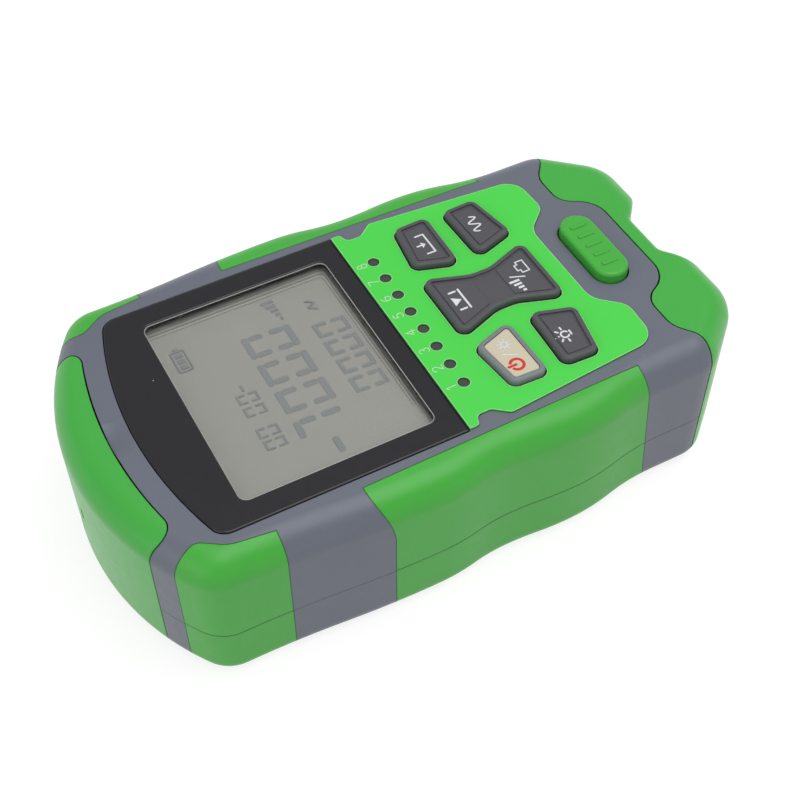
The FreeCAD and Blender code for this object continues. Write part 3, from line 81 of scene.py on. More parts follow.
log = logging.getLogger("power_meter")


def chip(red: int, green: int, blue: int) -> Colour:
    """Turns a paint chip's 0 to 255 steps into a linear colour.

    Args:
        red: red step.
        green: green step.
        blue: blue step.

    Returns:
        The colour as three linear numbers.
    """

    def linear(step: int) -> float:
        """Linear value of one step."""
        share = step / 255.0
        return share / 12.92 if share <= 0.04045 else ((share + 0.055) / 1.055) ** 2.4

    return linear(red), linear(green), linear(blue)


def shade(colour: Colour, factor: float) -> Colour:
    """The colour made darker or paler by a factor."""
    return colour[0] * factor, colour[1] * factor, colour[2] * factor


DUST = chip(205, 208, 212)
BRASS = chip(200, 170, 90)
CELL_BAND = chip(196, 172, 120)
CAN_STEEL = chip(190, 190, 188)


def scaled(points: Iterable[Flat]) -> list[Flat]:
    """Points given in millimetres, in metres."""
    return [(x * MM, y * MM) for x, y in points]


def moved(place: Flat, along: float, up: float = 0.0) -> Flat:
    """A place moved by a step."""
    return place[0] + along, place[1] + up


def placed(place: Flat, offsets: Iterable[Flat]) -> list[Flat]:
    """Points given from a place, moved to it."""
    return [moved(place, *offset) for offset in offsets]


def oblong(place: Flat, wide: float, tall: float) -> list[Flat]:
    """An oblong's corners, counter-clockwise from its low left one."""
    return placed(place, ((0.0, 0.0), (wide, 0.0), (wide, tall), (0.0, tall)))


class Graph:
    """One material's node graph, built a node at a time."""

    def __init__(self, name: str) -> None:
        """Starts a material that holds one shader and its output.

        Args:
            name: the material's name.
        """
        self.material = bpy.data.materials.new(name)
        self.material.use_nodes = True
        self.tree = self.material.node_tree
        self.tree.nodes.clear()
        self.output = self.add("ShaderNodeOutputMaterial")
        self.shader = self.add("ShaderNodeBsdfPrincipled")
        self.join(self.shader.outputs["BSDF"], self.output.inputs["Surface"])
        self.place = self.add("ShaderNodeTexCoord").outputs["Object"]

    def add(self, kind: str, **settings: object) -> bpy.types.Node:
        """Adds a node.

        Args:
            kind: the node's type name.
            settings: the node's own properties.

        Returns:
            The new node.
        """
        node = self.tree.nodes.new(kind)
        for key, value in settings.items():
            setattr(node, key, value)
        return node

    def join(self, source: Socket, target: Socket) -> None:
        """Links one socket to another."""
        self.tree.links.new(source, target)

    def feed(self, target: Socket, value: object) -> None:
        """Links a socket into the target, or sets the target to a plain number or colour.

        Args:
            target: the input socket.
            value: a socket, a number or a colour.
        """
        if isinstance(value, Socket):
            self.join(value, target)
        elif isinstance(value, tuple):
            target.default_value = (*value, 1.0) if len(target.default_value) == 4 else value
        else:
            target.default_value = value

    def set(self, **sockets: object) -> None:
        """Sets the shader's sockets, named with underscores for spaces.

        Args:
            sockets: a value or a source for each socket.
        """
        for key, value in sockets.items():
            self.feed(self.shader.inputs[key.replace("_", " ")], value)

    def noise(
        self, pitch: float, detail: float = 2.0, stretch: tuple[float, float, float] = (1.0, 1.0, 1.0)
    ) -> Socket:
        """Soft clouds of a given size.

        Args:
            pitch: the clouds' size in metres.
            detail: how many finer layers they have.
            stretch: how much closer the clouds lie along x, y and z.

        Returns:
            The clouds, from 0 to 1.
        """
        mapping = self.add("ShaderNodeMapping")
        mapping.inputs["Scale"].default_value = stretch
        self.join(self.place, mapping.inputs["Vector"])
        clouds = self.add("ShaderNodeTexNoise")
        clouds.inputs["Scale"].default_value = 1.0 / pitch
        clouds.inputs["Detail"].default_value = detail
        self.join(mapping.outputs["Vector"], clouds.inputs["Vector"])
        return clouds.outputs["Fac"]

    def math(self, operation: str, first: object, second: object = 0.0) -> Socket:
        """One step of arithmetic.

        Args:
            operation: the Math node's operation.
            first: the first number or socket.
            second: the second number or socket.

        Returns:
            The result.
        """
        node = self.add("ShaderNodeMath", operation=operation)
        self.feed(node.inputs[0], first)
        self.feed(node.inputs[1], second)
        return node.outputs[0]

    def ramp(
        self, value: object, start: float, end: float, low: float = 0.0, high: float = 1.0
    ) -> Socket:
        """Maps a range of numbers on to another, held at both ends.

        Args:
            value: the socket to map.
            start: the value that gives low.
            end: the value that gives high.
            low: the result at the start.
            high: the result at the end.

        Returns:
            The mapped value.
        """
        node = self.add("ShaderNodeMapRange")
        sockets = ("Value", "From Min", "From Max", "To Min", "To Max")
        for key, number in zip(sockets, (value, start, end, low, high)):
            self.feed(node.inputs[key], number)
        return node.outputs["Result"]

    def uneven(self, pitch: float, low: float, high: float) -> Socket:
        """A value that drifts between two levels in soft patches.

        Args:
            pitch: the patches' size in metres.
            low: the lowest value.
            high: the highest value.

        Returns:
            The drifting value.
        """
        return self.ramp(self.noise(pitch, 3.0), NOISE_FROM, NOISE_TO, low, high)

    def blend(self, share: object, first: object, second: object) -> Socket:
        """Mixes two colours.

        Args:
            share: how much of the second colour shows.
            first: the colour at 0.
            second: the colour at 1.

        Returns:
            The mixed colour.
        """
        node = self.add("ShaderNodeMix", data_type="RGBA")
        self.feed(node.inputs["Factor"], share)
        self.feed(node.inputs[6], first)
        self.feed(node.inputs[7], second)
        return node.outputs[2]

    def specks(self, pitch: float, size: float, share: float) -> Socket:
        """Rare round spots, such as dust.

        Args:
            pitch: the distance between places where a spot may be, in metres.
            size: a spot's radius as a share of the pitch.
            share: the share of the places that hold a spot.

        Returns:
            1 on a spot and 0 elsewhere.
        """
        cells = self.add("ShaderNodeTexVoronoi")
        cells.inputs["Scale"].default_value = 1.0 / pitch
        self.join(self.place, cells.inputs["Vector"])
        near = self.math("LESS_THAN", cells.outputs["Distance"], size)
        chosen = self.math("LESS_THAN", self.split(cells.outputs["Color"], 0), share)
        return self.math("MULTIPLY", near, chosen)

    def split(self, vector: Socket, axis: int) -> Socket:
        """One of a vector's three numbers."""
        node = self.add("ShaderNodeSeparateXYZ")
        self.join(vector, node.inputs[0])
        return node.outputs[axis]

    def edges(self, radius: float) -> tuple[Socket, Socket]:
        """Rounds sharp edges in shading and finds them for wear and painted edge highlights.

        Args:
            radius: the edges' rounding in metres.

        Returns:
            The rounded normal, and a mask that is 1 on the edges.
        """
        bevel = self.add("ShaderNodeBevel", samples=BEVEL_SAMPLES)
        bevel.inputs["Radius"].default_value = radius
        plain = self.add("ShaderNodeNewGeometry").outputs["Normal"]
        dot = self.add("ShaderNodeVectorMath", operation="DOT_PRODUCT")
        self.join(bevel.outputs["Normal"], dot.inputs[0])
        self.join(plain, dot.inputs[1])
        return bevel.outputs["Normal"], self.ramp(dot.outputs["Value"], FLAT_COSINE, EDGE_COSINE)

    def bump(self, height: object, depth: float, normal: Socket | None = None) -> Socket:
        """Relief in shading.

        Args:
            height: the relief, from 0 to 1.
            depth: the relief's depth in metres.
            normal: the normal under it.

        Returns:
            The normal with the relief.
        """
        node = self.add("ShaderNodeBump")
        node.inputs["Distance"].default_value = depth
        self.feed(node.inputs["Height"], height)
        if normal is not None:
            self.join(normal, node.inputs["Normal"])
        return node.outputs["Normal"]


@dataclass(frozen=True)
class Moulding:
    """Moulded plastic or rubber: fine texture, faint clouding, rubbed edges (a painted highlight on some
    finishes), dust and scuffs.
    """

    name: str
    colour: Colour
    worn_and_glint: Colour
    roughness: float = 0.5
    grain_mm: float = 0.35
    relief_mm: float = 0.006
    cloud: float = 0.04
    wear_and_glint: float = 0.3
    dust: float = 0.0
    scuff: float = 0.0
    edge_mm: float = 0.18
    cloud_mm: float = 9.0
    patch_mm: float = 3.0
    speck_mm: float = 2.2
    speck_share: float = 0.045
    gloss_mm: float = 1.6
    gloss_drift: float = 0.08
    scuff_mm: float = 0.9

    def make(self) -> bpy.types.Material:
        """Builds the material.

        Returns:
            The finished material.
        """
        graph = Graph(self.name)
        normal, edge = graph.edges(self.edge_mm * MM)
        clouds = graph.noise(self.cloud_mm * MM, 3.0)
        dark, pale = (shade(self.colour, 1.0 + part) for part in (-self.cloud, self.cloud))
        colour = graph.blend(clouds, dark, pale)
        patches = graph.ramp(graph.noise(self.patch_mm * MM, 4.0), 0.35, 0.65, 0.2, self.wear_and_glint)
        # edge colour: rubbed wear on most finishes; a painted highlight on the film and the window's glint
        # line, partly one on the bezel
        colour = graph.blend(graph.math("MULTIPLY", edge, patches), colour, self.worn_and_glint)
        if self.dust:
            colour = graph.blend(graph.specks(self.speck_mm * MM, self.speck_share, self.dust), colour, DUST)
        low, high = self.roughness * (1.0 - self.gloss_drift), self.roughness * (1.0 + self.gloss_drift)
        rough = graph.uneven(self.gloss_mm * MM, low, high)
        if self.scuff:
            streaks = graph.noise(self.scuff_mm * MM, 3.0, (0.3, 1.0, 1.0))
            colour = graph.blend(graph.ramp(streaks, 0.68, 0.78, 0.0, self.scuff), colour, self.worn_and_glint)
        relief = graph.bump(graph.noise(self.grain_mm * MM, 2.0), self.relief_mm * MM, normal)
        graph.set(Base_Color=colour, Roughness=rough, Normal=relief)
        return graph.material


@dataclass(frozen=True)
class Metal:
    """Bare or plated metal with fine turning or drawing lines."""

    name: str
    colour: Colour
    roughness: float = 0.3
    stretch: tuple[float, float, float] = (1.0, 12.0, 1.0)
    tarnish: float = 0.12
    edge_mm: float = 0.1
    stain_mm: float = 2.5
    line_mm: float = 0.25
    relief_mm: float = 0.003

    def make(self) -> bpy.types.Material:
        """Builds the material.

        Returns:
            The finished material.
        """
        graph = Graph(self.name)
        normal, edge = graph.edges(self.edge_mm * MM)
        stains = graph.ramp(graph.noise(self.stain_mm * MM, 4.0), 0.4, 0.75, 0.0, self.tarnish * 3.0)
        colour = graph.blend(stains, self.colour, shade(self.colour, 1.0 - self.tarnish))
        colour = graph.blend(graph.math("MULTIPLY", edge, 0.4), colour, shade(self.colour, 1.12))
        lines = graph.noise(self.line_mm * MM, 2.0, self.stretch)
        rough = graph.ramp(lines, NOISE_FROM, NOISE_TO, self.roughness * 0.8, self.roughness * 1.2)
        relief = graph.bump(lines, self.relief_mm * MM, normal)
        graph.set(Base_Color=colour, Roughness=rough, Metallic=1.0, Normal=relief)
        return graph.material


@dataclass(frozen=True)
class Clear:
    """Clear moulded plastic or glass, with faint smears; it lets light through to what is under it."""

    name: str
    colour: Colour = (0.97, 0.98, 0.97)
    roughness: float = 0.02
    ior: float = 1.46
    edge_mm: float = 0.08
    smear_mm: float = 6.0
    tint_mm: float = 8.0

    def make(self) -> bpy.types.Material:
        """Builds the material.

        Returns:
            The finished material.
        """
        graph = Graph(self.name)
        streaks = graph.noise(self.smear_mm * MM, 4.0, (1.0, 0.3, 1.0))
        smears = graph.ramp(streaks, 0.45, 0.8, self.roughness * 0.5, self.roughness * 1.5)
        normal, _ = graph.edges(self.edge_mm * MM)
        tint = graph.blend(graph.noise(self.tint_mm * MM), self.colour, shade(self.colour, 0.99))
        graph.set(Base_Color=tint, Roughness=smears, IOR=self.ior, Transmission_Weight=1.0, Normal=normal)
        through = graph.add("ShaderNodeBsdfTransparent")
        through.inputs["Color"].default_value = (*self.colour, 1.0)
        mixed = graph.add("ShaderNodeMixShader")
        graph.join(graph.add("ShaderNodeLightPath").outputs["Is Shadow Ray"], mixed.inputs[0])
        graph.join(graph.shader.outputs["BSDF"], mixed.inputs[1])
        graph.join(through.outputs["BSDF"], mixed.inputs[2])
        graph.join(mixed.outputs["Shader"], graph.output.inputs["Surface"])
        return graph.material


@dataclass(frozen=True)
class Laminate:
    """A lacquered circuit board with paler tracks under the lacquer."""

    name: str
    colour: Colour
    track_mm: float = 2.4
    contact_mm: float = 3.1
    relief_mm: float = 0.02

    def make(self) -> bpy.types.Material:
        """Builds the material.

        Returns:
            The finished material.
        """
        graph = Graph(self.name)
        cells = graph.add("ShaderNodeTexVoronoi", distance="CHEBYCHEV")
        cells.inputs["Scale"].default_value = 1.0 / (self.track_mm * MM)
        cells.inputs["Randomness"].default_value = 0.55
        graph.join(graph.place, cells.inputs["Vector"])
        tracks = graph.ramp(cells.outputs["Distance"], 0.44, 0.47)
        colour = graph.blend(tracks, self.colour, shade(self.colour, 1.7))
        colour = graph.blend(graph.specks(self.contact_mm * MM, 0.14, 0.5), colour, BRASS)
        rough = graph.uneven(1.2 * MM, 0.28, 0.4)
        graph.set(Base_Color=colour, Roughness=rough, Normal=graph.bump(tracks, self.relief_mm * MM))
        return graph.material


@dataclass(frozen=True)
class CellWrap:
    """A shrink-wrapped steel can: colour with a band on the side, bare steel past low and high in y."""

    name: str
    colour: Colour
    low: float
    high: float
    band_mm: float = 9.0
    band_edge_mm: float = 0.1
    relief_mm: float = 0.02

    def make(self) -> bpy.types.Material:
        """Builds the material.

        Returns:
            The finished material.
        """
        graph = Graph(self.name)
        along = graph.split(graph.place, 1)
        bare = graph.math(
            "ADD", graph.math("LESS_THAN", along, self.low), graph.math("GREATER_THAN", along, self.high)
        )
        band_start = self.high - self.band_mm * MM
        band = graph.ramp(along, band_start, band_start + self.band_edge_mm * MM)
        colour = graph.blend(band, self.colour, CELL_BAND)
        # painted sheen: soft patches of paler wrap colour
        colour = graph.blend(graph.uneven(4.0 * MM, 0.0, 0.15), colour, shade(self.colour, 1.4))
        colour = graph.blend(bare, colour, CAN_STEEL)
        rough = graph.uneven(2.0 * MM, 0.25, 0.36)
        relief = graph.bump(graph.noise(1.5 * MM, 2.0, (1.0, 0.2, 1.0)), self.relief_mm * MM)
        graph.set(Base_Color=colour, Roughness=rough, Metallic=bare, Normal=relief)
        return graph.material


class Slot(Enum):
    """The record's material slots."""

    SHELL_GREY = "shell_grey"
    PAD_GREEN = "pad_green"
    COVER_GREEN = "cover_green"
    OVERLAY_GREEN = "overlay_green"
    BEZEL_BLACK = "bezel_black"
    CLEAR_LENS = "clear_lens"
    LCD_GREY = "lcd_grey"
    LIGHT_WHITE = "light_white"
    KEY_CHARCOAL = "key_charcoal"
    KEY_LIGHT = "key_light"
    INSERT_CREAM = "insert_cream"
    WINDOW_DARK = "window_dark"
    MAT_GREY = "mat_grey"
    BOARD_GREEN = "board_green"
    CHIP_BLACK = "chip_black"
    LED_WHITE = "led_white"
    PORT_NICKEL = "port_nickel"
    PORT_STEEL = "port_steel"
    SENSOR_CAN = "sensor_can"
    JACK_BLACK = "jack_black"
    CONTACT_GOLD = "contact_gold"
    TORCH_CLEAR = "torch_clear"
    CELL_WRAP = "cell_wrap"
    SPRING_STEEL = "spring_steel"
    SCREW_STEEL = "screw_steel"


FINISHES: dict[Slot, Moulding | Metal | Clear | Laminate] = {
    Slot.SHELL_GREY: Moulding(
        "shell_grey", chip(104, 109, 122), chip(146, 151, 163), 0.4, wear_and_glint=0.3, dust=0.04, scuff=0.12
    ),
    Slot.PAD_GREEN: Moulding(
        "pad_green", chip(66, 176, 58), chip(104, 190, 98), 0.42, grain_mm=0.28, relief_mm=0.004
    ),
    Slot.COVER_GREEN: Moulding(
        "cover_green", chip(65, 176, 65), chip(104, 192, 102), 0.33, relief_mm=0.003, cloud=0.03
    ),
    # the film's pale edge colour at full strength is a painted highlight along its edges, not wear
    Slot.OVERLAY_GREEN: Moulding(
        "overlay_green", chip(74, 217, 75), chip(168, 240, 164), 0.36, grain_mm=0.2, relief_mm=0.001,
        cloud=0.015, wear_and_glint=1.0, edge_mm=0.24
    ),
    # the bezel's paler edge colour is partly rubbed wear and partly a painted highlight
    Slot.BEZEL_BLACK: Moulding(
        "bezel_black", chip(31, 29, 34), chip(96, 96, 100), 0.24, relief_mm=0.001, cloud=0.05,
        wear_and_glint=0.35, dust=0.03
    ),
    Slot.CLEAR_LENS: Clear("clear_lens"),
    Slot.LCD_GREY: Moulding(
        "lcd_grey", chip(128, 126, 121), chip(150, 148, 140), 0.45, relief_mm=0.0, cloud=0.02, wear_and_glint=0.1
    ),
    Slot.LIGHT_WHITE: Moulding(
        "light_white", chip(228, 229, 226), chip(236, 236, 234), 0.35, relief_mm=0.002, wear_and_glint=0.1
    ),
    Slot.KEY_CHARCOAL: Moulding(
        "key_charcoal", chip(78, 78, 83), chip(128, 128, 132), 0.52, relief_mm=0.004, wear_and_glint=0.45,
        dust=0.14, edge_mm=0.14
    ),
    Slot.KEY_LIGHT: Moulding("key_light", chip(124, 128, 134), chip(150, 154, 160), 0.5, wear_and_glint=0.3, dust=0.05),
    Slot.INSERT_CREAM: Moulding(
        "insert_cream", chip(207, 199, 172), chip(228, 222, 206), 0.45, relief_mm=0.002, cloud=0.03
    ),
    Slot.WINDOW_DARK: Moulding(
        "window_dark", chip(62, 70, 64), chip(120, 150, 120), 0.3, relief_mm=0.001, wear_and_glint=0.7
    ),
    Slot.MAT_GREY: Moulding("mat_grey", chip(158, 159, 161), chip(175, 176, 178), 0.55),
    Slot.BOARD_GREEN: Laminate("board_green", chip(26, 92, 52)),
    Slot.CHIP_BLACK: Moulding(
        "chip_black", chip(38, 38, 40), chip(70, 70, 72), 0.55, grain_mm=0.15, dust=0.05
    ),
    Slot.LED_WHITE: Moulding("led_white", chip(236, 236, 214), chip(240, 240, 225), 0.25, relief_mm=0.001),
    Slot.PORT_NICKEL: Metal("port_nickel", chip(204, 200, 192), 0.28, (12.0, 1.0, 12.0)),
    Slot.PORT_STEEL: Metal("port_steel", chip(190, 190, 192), 0.32, (12.0, 1.0, 12.0)),
    Slot.SENSOR_CAN: Metal("sensor_can", chip(216, 184, 110), 0.26),
    Slot.JACK_BLACK: Moulding("jack_black", chip(44, 44, 46), chip(80, 80, 82), 0.5, dust=0.04),
    Slot.CONTACT_GOLD: Metal("contact_gold", chip(222, 180, 92), 0.22, (1.0, 1.0, 12.0)),
    Slot.TORCH_CLEAR: Clear("torch_clear", (0.95, 0.97, 0.98), 0.05, 1.5),
    Slot.SPRING_STEEL: Metal("spring_steel", chip(198, 198, 198), 0.3),
    Slot.SCREW_STEEL: Metal("screw_steel", chip(150, 150, 152), 0.34, (6.0, 6.0, 1.0)),
}


@dataclass
class Wardrobe:
    """Every finish, made once, and the rule that gives each node the finish of its slot."""

    cell_foot_mm: float = 0.3
    cell_cap_mm: float = 1.3
    materials: dict[Slot, bpy.types.Material] = field(default_factory=dict)

    def make(self) -> None:
        """Makes every material."""
        low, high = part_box("battery_cell_1")
        ends = low.y + self.cell_foot_mm * MM, high.y - self.cell_cap_mm * MM
        wrap = CellWrap("cell_wrap", chip(58, 96, 150), *ends)
        for slot, finish in {**FINISHES, Slot.CELL_WRAP: wrap}.items():
            self.materials[slot] = finish.make()

    def dress(self, nodes: dict[str, bpy.types.Object]) -> None:
        """Gives every node its finish in place of the plain one that it came with.

        Args:
            nodes: the frame's nodes by name.
        """
        by_name = {slot.value: material for slot, material in self.materials.items()}
        for node in nodes.values():
            for place in node.material_slots:
                place.material = by_name[place.material.name.split(".")[0]]


@dataclass
class Marks:
    """Flat marks on a surface: strokes and filled shapes that follow it, with a little thickness.

    The surface is looked for from the height above. A corner's stretch is held by mitre, and a line's
    round ends go through end_turns, in radians.
    """

    name: str
    carrier: bpy.types.Object
    thick: float = 0.03 * MM
    layer: float = 0.0012 * MM
    above: float = 0.1
    mitre: float = 0.5
    end_turns: tuple[float, ...] = (1.4, 1.1, 0.7, 0.35)
    mesh: bmesh.types.BMesh = field(default_factory=bmesh.new)

    def height(self, x: float, y: float) -> float:
        """The surface's height under a point, or the carrier's top where nothing is under it."""
        hit, where, _, _ = self.carrier.ray_cast(Vector((x, y, self.above)), Vector((0.0, 0.0, -1.0)))
        return where.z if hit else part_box(self.carrier.name)[1].z

    def wall(self, ring: list[Flat], sides: list[tuple[int, ...]]) -> None:
        """Adds points and the faces between them, with walls round the shape's outer edge.

        Each shape lies a hair over the one before, so that no two tops share a plane.

        Args:
            ring: the points, seen from above.
            sides: the top faces, as indexes into the points, counter-clockwise.
        """
        heights = [self.height(x, y) for x, y in ring]
        self.thick += self.layer
        top = [self.mesh.verts.new((x, y, z + self.thick)) for (x, y), z in zip(ring, heights)]
        foot = [self.mesh.verts.new((x, y, z - self.thick)) for (x, y), z in zip(ring, heights)]
        borders = {(side[k - 1], side[k]) for side in sides for k in range(len(side))}
        for side in sides:
            self.mesh.faces.new([top[k] for k in side])
            self.mesh.faces.new([foot[k] for k in reversed(side)])
        for first, second in borders:
            if (second, first) not in borders:
                self.mesh.faces.new([top[second], top[first], foot[first], foot[second]])

    def fill(self, points: list[Flat]) -> None:
        """Adds a filled shape from its corners, counter-clockwise."""
        self.wall(points, [tuple(range(len(points)))])

    def stroke(self, points: list[Flat], width: float) -> None:
        """Adds a line of even width with round ends.

        Args:
            points: the line's points.
            width: its width.
        """
        half = width / 2.0
        line = [Vector(p) for p in points]
        loop = (line[0] - line[-1]).length < half * 0.1
        ways = [(b - a).normalized() for a, b in zip(line, line[1:])]
        spine: list[tuple[Vector, Vector, float]] = []
        if not loop:
            for turn in self.end_turns:
                spine.append((line[0] - ways[0] * half * math.sin(turn), ways[0], half * math.cos(turn)))
            spine.append((line[0], ways[0], half))
        for k in range(0 if loop else 1, len(line) - 1):
            mean = (ways[k - 1] + ways[k]).normalized()
            spine.append((line[k], mean, half / max(self.mitre, mean.dot(ways[k]))))
        if not loop:
            spine.append((line[-1], ways[-1], half))
            for turn in reversed(self.end_turns):
                spine.append((line[-1] + ways[-1] * half * math.sin(turn), ways[-1], half * math.cos(turn)))
        ring: list[Flat] = []
        for point, way, reach in spine:
            side = Vector((-way.y, way.x)) * reach
            ring += [tuple(point - side), tuple(point + side)]
        count = len(ring)
        steps = len(spine) if loop else len(spine) - 1
        self.wall(ring, [(2 * k, (2 * k + 2) % count, (2 * k + 3) % count, 2 * k + 1) for k in range(steps)])

    def done(self, material: bpy.types.Material, body: str, slot: Slot) -> bpy.types.Object:
        """Turns the marks into a piece that rides on a body.

        Args:
            material: the marks' finish.
            body: the body that they ride on.
            slot: not used.

        Returns:
            The piece.
        """
        piece = self.piece(self.name, self.mesh)
        piece.data.materials.append(material)
        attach(piece, body)
        return piece

    @staticmethod
    def piece(name: str, mesh: bmesh.types.BMesh) -> bpy.types.Object:
        """Puts a mesh into the scene.

        Args:
            name: the piece's name.
            mesh: its mesh, which is used up.

        Returns:
            The piece.
        """
        data = bpy.data.meshes.new(name)
        mesh.to_mesh(data)
        mesh.free()
        piece = bpy.data.objects.new(name, data)
        bpy.context.scene.collection.objects.link(piece)
        return piece


def arc(x: float, y: float, radius: float, start: float, end: float, steps: int = 16) -> list[Flat]:
    """Points along an arc.

    Args:
        x: the centre's x.
        y: the centre's y.
        radius: the arc's radius.
        start: the first angle in degrees.
        end: the last angle in degrees.
        steps: the number of parts.

    Returns:
        The points.
    """
    turns = [math.radians(start + (end - start) * k / steps) for k in range(steps + 1)]
    return [(x + radius * math.cos(turn), y + radius * math.sin(turn)) for turn in turns]


DIGITS: dict[str, list[list[Flat]]] = {
    "1": [[(0.12, 0.76), (0.36, 1.0)], [(0.36, 1.0), (0.36, 0.0)]],
    "2": [arc(0.3, 0.72, 0.28, 170, -38) + [(0.03, 0.02)], [(0.03, 0.0), (0.6, 0.0)]],
    "3": [arc(0.28, 0.75, 0.25, 150, -88), arc(0.28, 0.27, 0.27, 86, -155)],
    "4": [[(0.46, 0.0), (0.46, 1.0)], [(0.46, 1.0), (0.0, 0.3)], [(0.0, 0.3), (0.64, 0.3)]],
    "5": [[(0.54, 1.0), (0.13, 1.0)], [(0.13, 1.0), (0.08, 0.56)], arc(0.27, 0.32, 0.31, 130, -150)],
    "6": [arc(0.62, 0.42, 0.6, 106, 172, 8), arc(0.3, 0.3, 0.28, 170, 530, 24)],
    "7": [[(0.02, 1.0), (0.6, 1.0)], [(0.6, 1.0), (0.22, 0.0)]],
    "8": [arc(0.3, 0.76, 0.23, -90, 270, 24), arc(0.3, 0.27, 0.28, 90, 450, 24)],
}
SEGMENTS: tuple[tuple[Flat, Flat], ...] = (
    ((0.0, 2.0), (1.0, 2.0)),
    ((1.0, 2.0), (1.0, 1.0)),
    ((1.0, 1.0), (1.0, 0.0)),
    ((0.0, 0.0), (1.0, 0.0)),
    ((0.0, 1.0), (0.0, 0.0)),
    ((0.0, 2.0), (0.0, 1.0)),
)


@dataclass(frozen=True)
class Row:
    """One row of display places: their left sides and foot in millimetres, and their scale."""

    places_mm: tuple[float, ...]
    foot_mm: float
    scale: float


@dataclass
class Display:
    """The window: unlit segments under the lens, its bright rim (a painted highlight) and the fine lines at
    the panel's edges (painted reflections of the bezel).

    The clip and gap are shares of a bar's width, and lean is the sideways step for each unit of height.
    """

    digit_wide_mm: float = 4.15
    digit_half_mm: float = 3.95
    bar_mm: float = 1.2
    lean: float = 0.05
    clip: float = 0.22
    gap: float = 0.56
    large: Row = Row((-6.9, 0.0, 6.9), 14.9, 1.0)
    middle: Row = Row((-8.3, -3.6, 1.1, 5.8), 5.2, 0.68)
    small: Row = Row((-12.5, -9.7, -4.6, -1.6), 25.9, 0.42)
    leading_mm: tuple = (
        ((-9.9, 14.9), (-9.8, 18.3)), ((-9.7, 19.4), (-9.55, 22.1)),
        ((-12.9, 23.0), (-9.2, 22.8)), ((-18.4, 18.5), (-15.0, 18.5)),
    )
    dash_mm: tuple = ((0.9, 27.6), (2.5, 27.6))
    levels_mm: Flat = (13.0, 14.4)
    zigzag_mm: tuple = ((12.4, 8.0), (13.3, 9.6), (14.2, 8.0), (15.1, 9.6))
    battery_mm: Flat = (9.8, 33.0)
    window_mm: tuple[float, float, float] = (21.2, 2.6, 37.8)
    corner_mm: float = 1.6
    line_mm: float = 0.13
    rim_drop_mm: float = 0.32
    # insets of the painted reflection lines of the bezel's window wall on the panel
    reflection_dark_insets_mm: tuple[float, ...] = (0.35, 1.15, 1.9)
    reflection_pale_insets_mm: tuple[float, ...] = (0.75, 1.5)
    step_start_mm: float = 6.0
    step_end_mm: float = 0.6
    step_bend_mm: float = 1.0
    near_share: float = 0.7

    def bar(self, marks: Marks, start: Flat, end: Flat, wide: float) -> None:
        """Adds one segment: a bar with clipped corners.

        Args:
            marks: the marks that it joins.
            start: one end.
            end: the other end.
            wide: its width.
        """
        first, last = Vector(start), Vector(end)
        way = (last - first).normalized()
        side = Vector((-way.y, way.x)) * wide / 2.0
        clip = way * wide * self.clip
        corners = [first + clip - side, last - clip - side, last - side * 0.5, last + side * 0.5,
                   last - clip + side, first + clip + side, first + side * 0.5, first - side * 0.5]
        marks.fill([tuple(corner) for corner in corners])

    def chain(self, marks: Marks, points: Iterable[Flat], wide_mm: float) -> None:
        """Adds a bar between each two neighbouring points.

        Args:
            marks: the marks that they join.
            points: the points in millimetres.
            wide_mm: the bars' width in millimetres.
        """
        line = scaled(points)
        for start, end in zip(line, line[1:]):
            self.bar(marks, start, end, wide_mm * MM)

    def digit(self, marks: Marks, x: float, y: float, scale: float) -> None:
        """Adds one place: an upper and a lower cup of bars.

        Args:
            marks: the marks that it joins.
            x: the place's left side in millimetres.
            y: its foot in millimetres.
            scale: its size next to the large places.
        """
        gap = self.bar_mm * scale * self.gap
        for (u0, v0), (u1, v1) in SEGMENTS:
            points = []
            for u, v, toward in ((u0, v0, v1), (u1, v1, v0)):
                rise = v * self.digit_half_mm * scale
                if u0 == u1:
                    rise += math.copysign(gap, toward - v)
                points.append(((x + u * self.digit_wide_mm * scale + rise * self.lean) * MM, (y + rise) * MM))
            if u0 != u1:
                reach = Vector((self.bar_mm * scale * 0.5 * MM, 0.0))
                low, high = sorted((Vector(points[0]), Vector(points[1])), key=lambda point: point.x)
                points = [tuple(low - reach), tuple(high + reach)]
            self.bar(marks, points[0], points[1], self.bar_mm * scale * MM)

    def row(self, marks: Marks, row: Row) -> None:
        """Adds a row of places."""
        for x in row.places_mm:
            self.digit(marks, x, row.foot_mm, row.scale)

    def battery(self, marks: Marks) -> None:
        """Adds the battery sign: its case, cap and three cells."""
        case = oblong(self.battery_mm, 4.8, 2.4)
        self.chain(marks, [*case, case[0]], 0.34)
        marks.fill(scaled(oblong(moved(self.battery_mm, 5.0, 0.7), 0.6, 1.0)))
        for k in range(3):
            marks.fill(scaled(oblong(moved(self.battery_mm, 0.5 + 1.4 * k, 0.5), 1.0, 1.4)))

    def segments(self, marks: Marks) -> None:
        """Adds every segment and pictogram of the panel."""
        self.row(marks, self.large)
        for line in self.leading_mm:
            self.chain(marks, line, self.bar_mm)
        self.row(marks, self.middle)
        self.row(marks, self.small)
        self.chain(marks, self.dash_mm, 0.5)
        for k in range(5):
            marks.fill(scaled(oblong(moved(self.levels_mm, 1.15 * k), 0.75, 0.5 + 0.45 * k)))
        self.chain(marks, self.zigzag_mm, 0.42)
        self.battery(marks)

    def outline(self, inset: float) -> list[Flat]:
        """The window's outline, counter-clockwise from its low left corner.

        Args:
            inset: how far inside the window it runs, in millimetres.

        Returns:
            The points in millimetres.
        """
        half, low, high = self.window_mm
        bend = max(0.4, self.corner_mm - inset)
        left, right = -half + inset + bend, half - inset - bend
        foot, head = low + inset + bend, high - inset - bend
        return (arc(left, foot, bend, 180, 270, 6) + arc(right, foot, bend, 270, 360, 6)
                + arc(right, head, bend, 0, 90, 6) + arc(left, head, bend, 90, 180, 6))

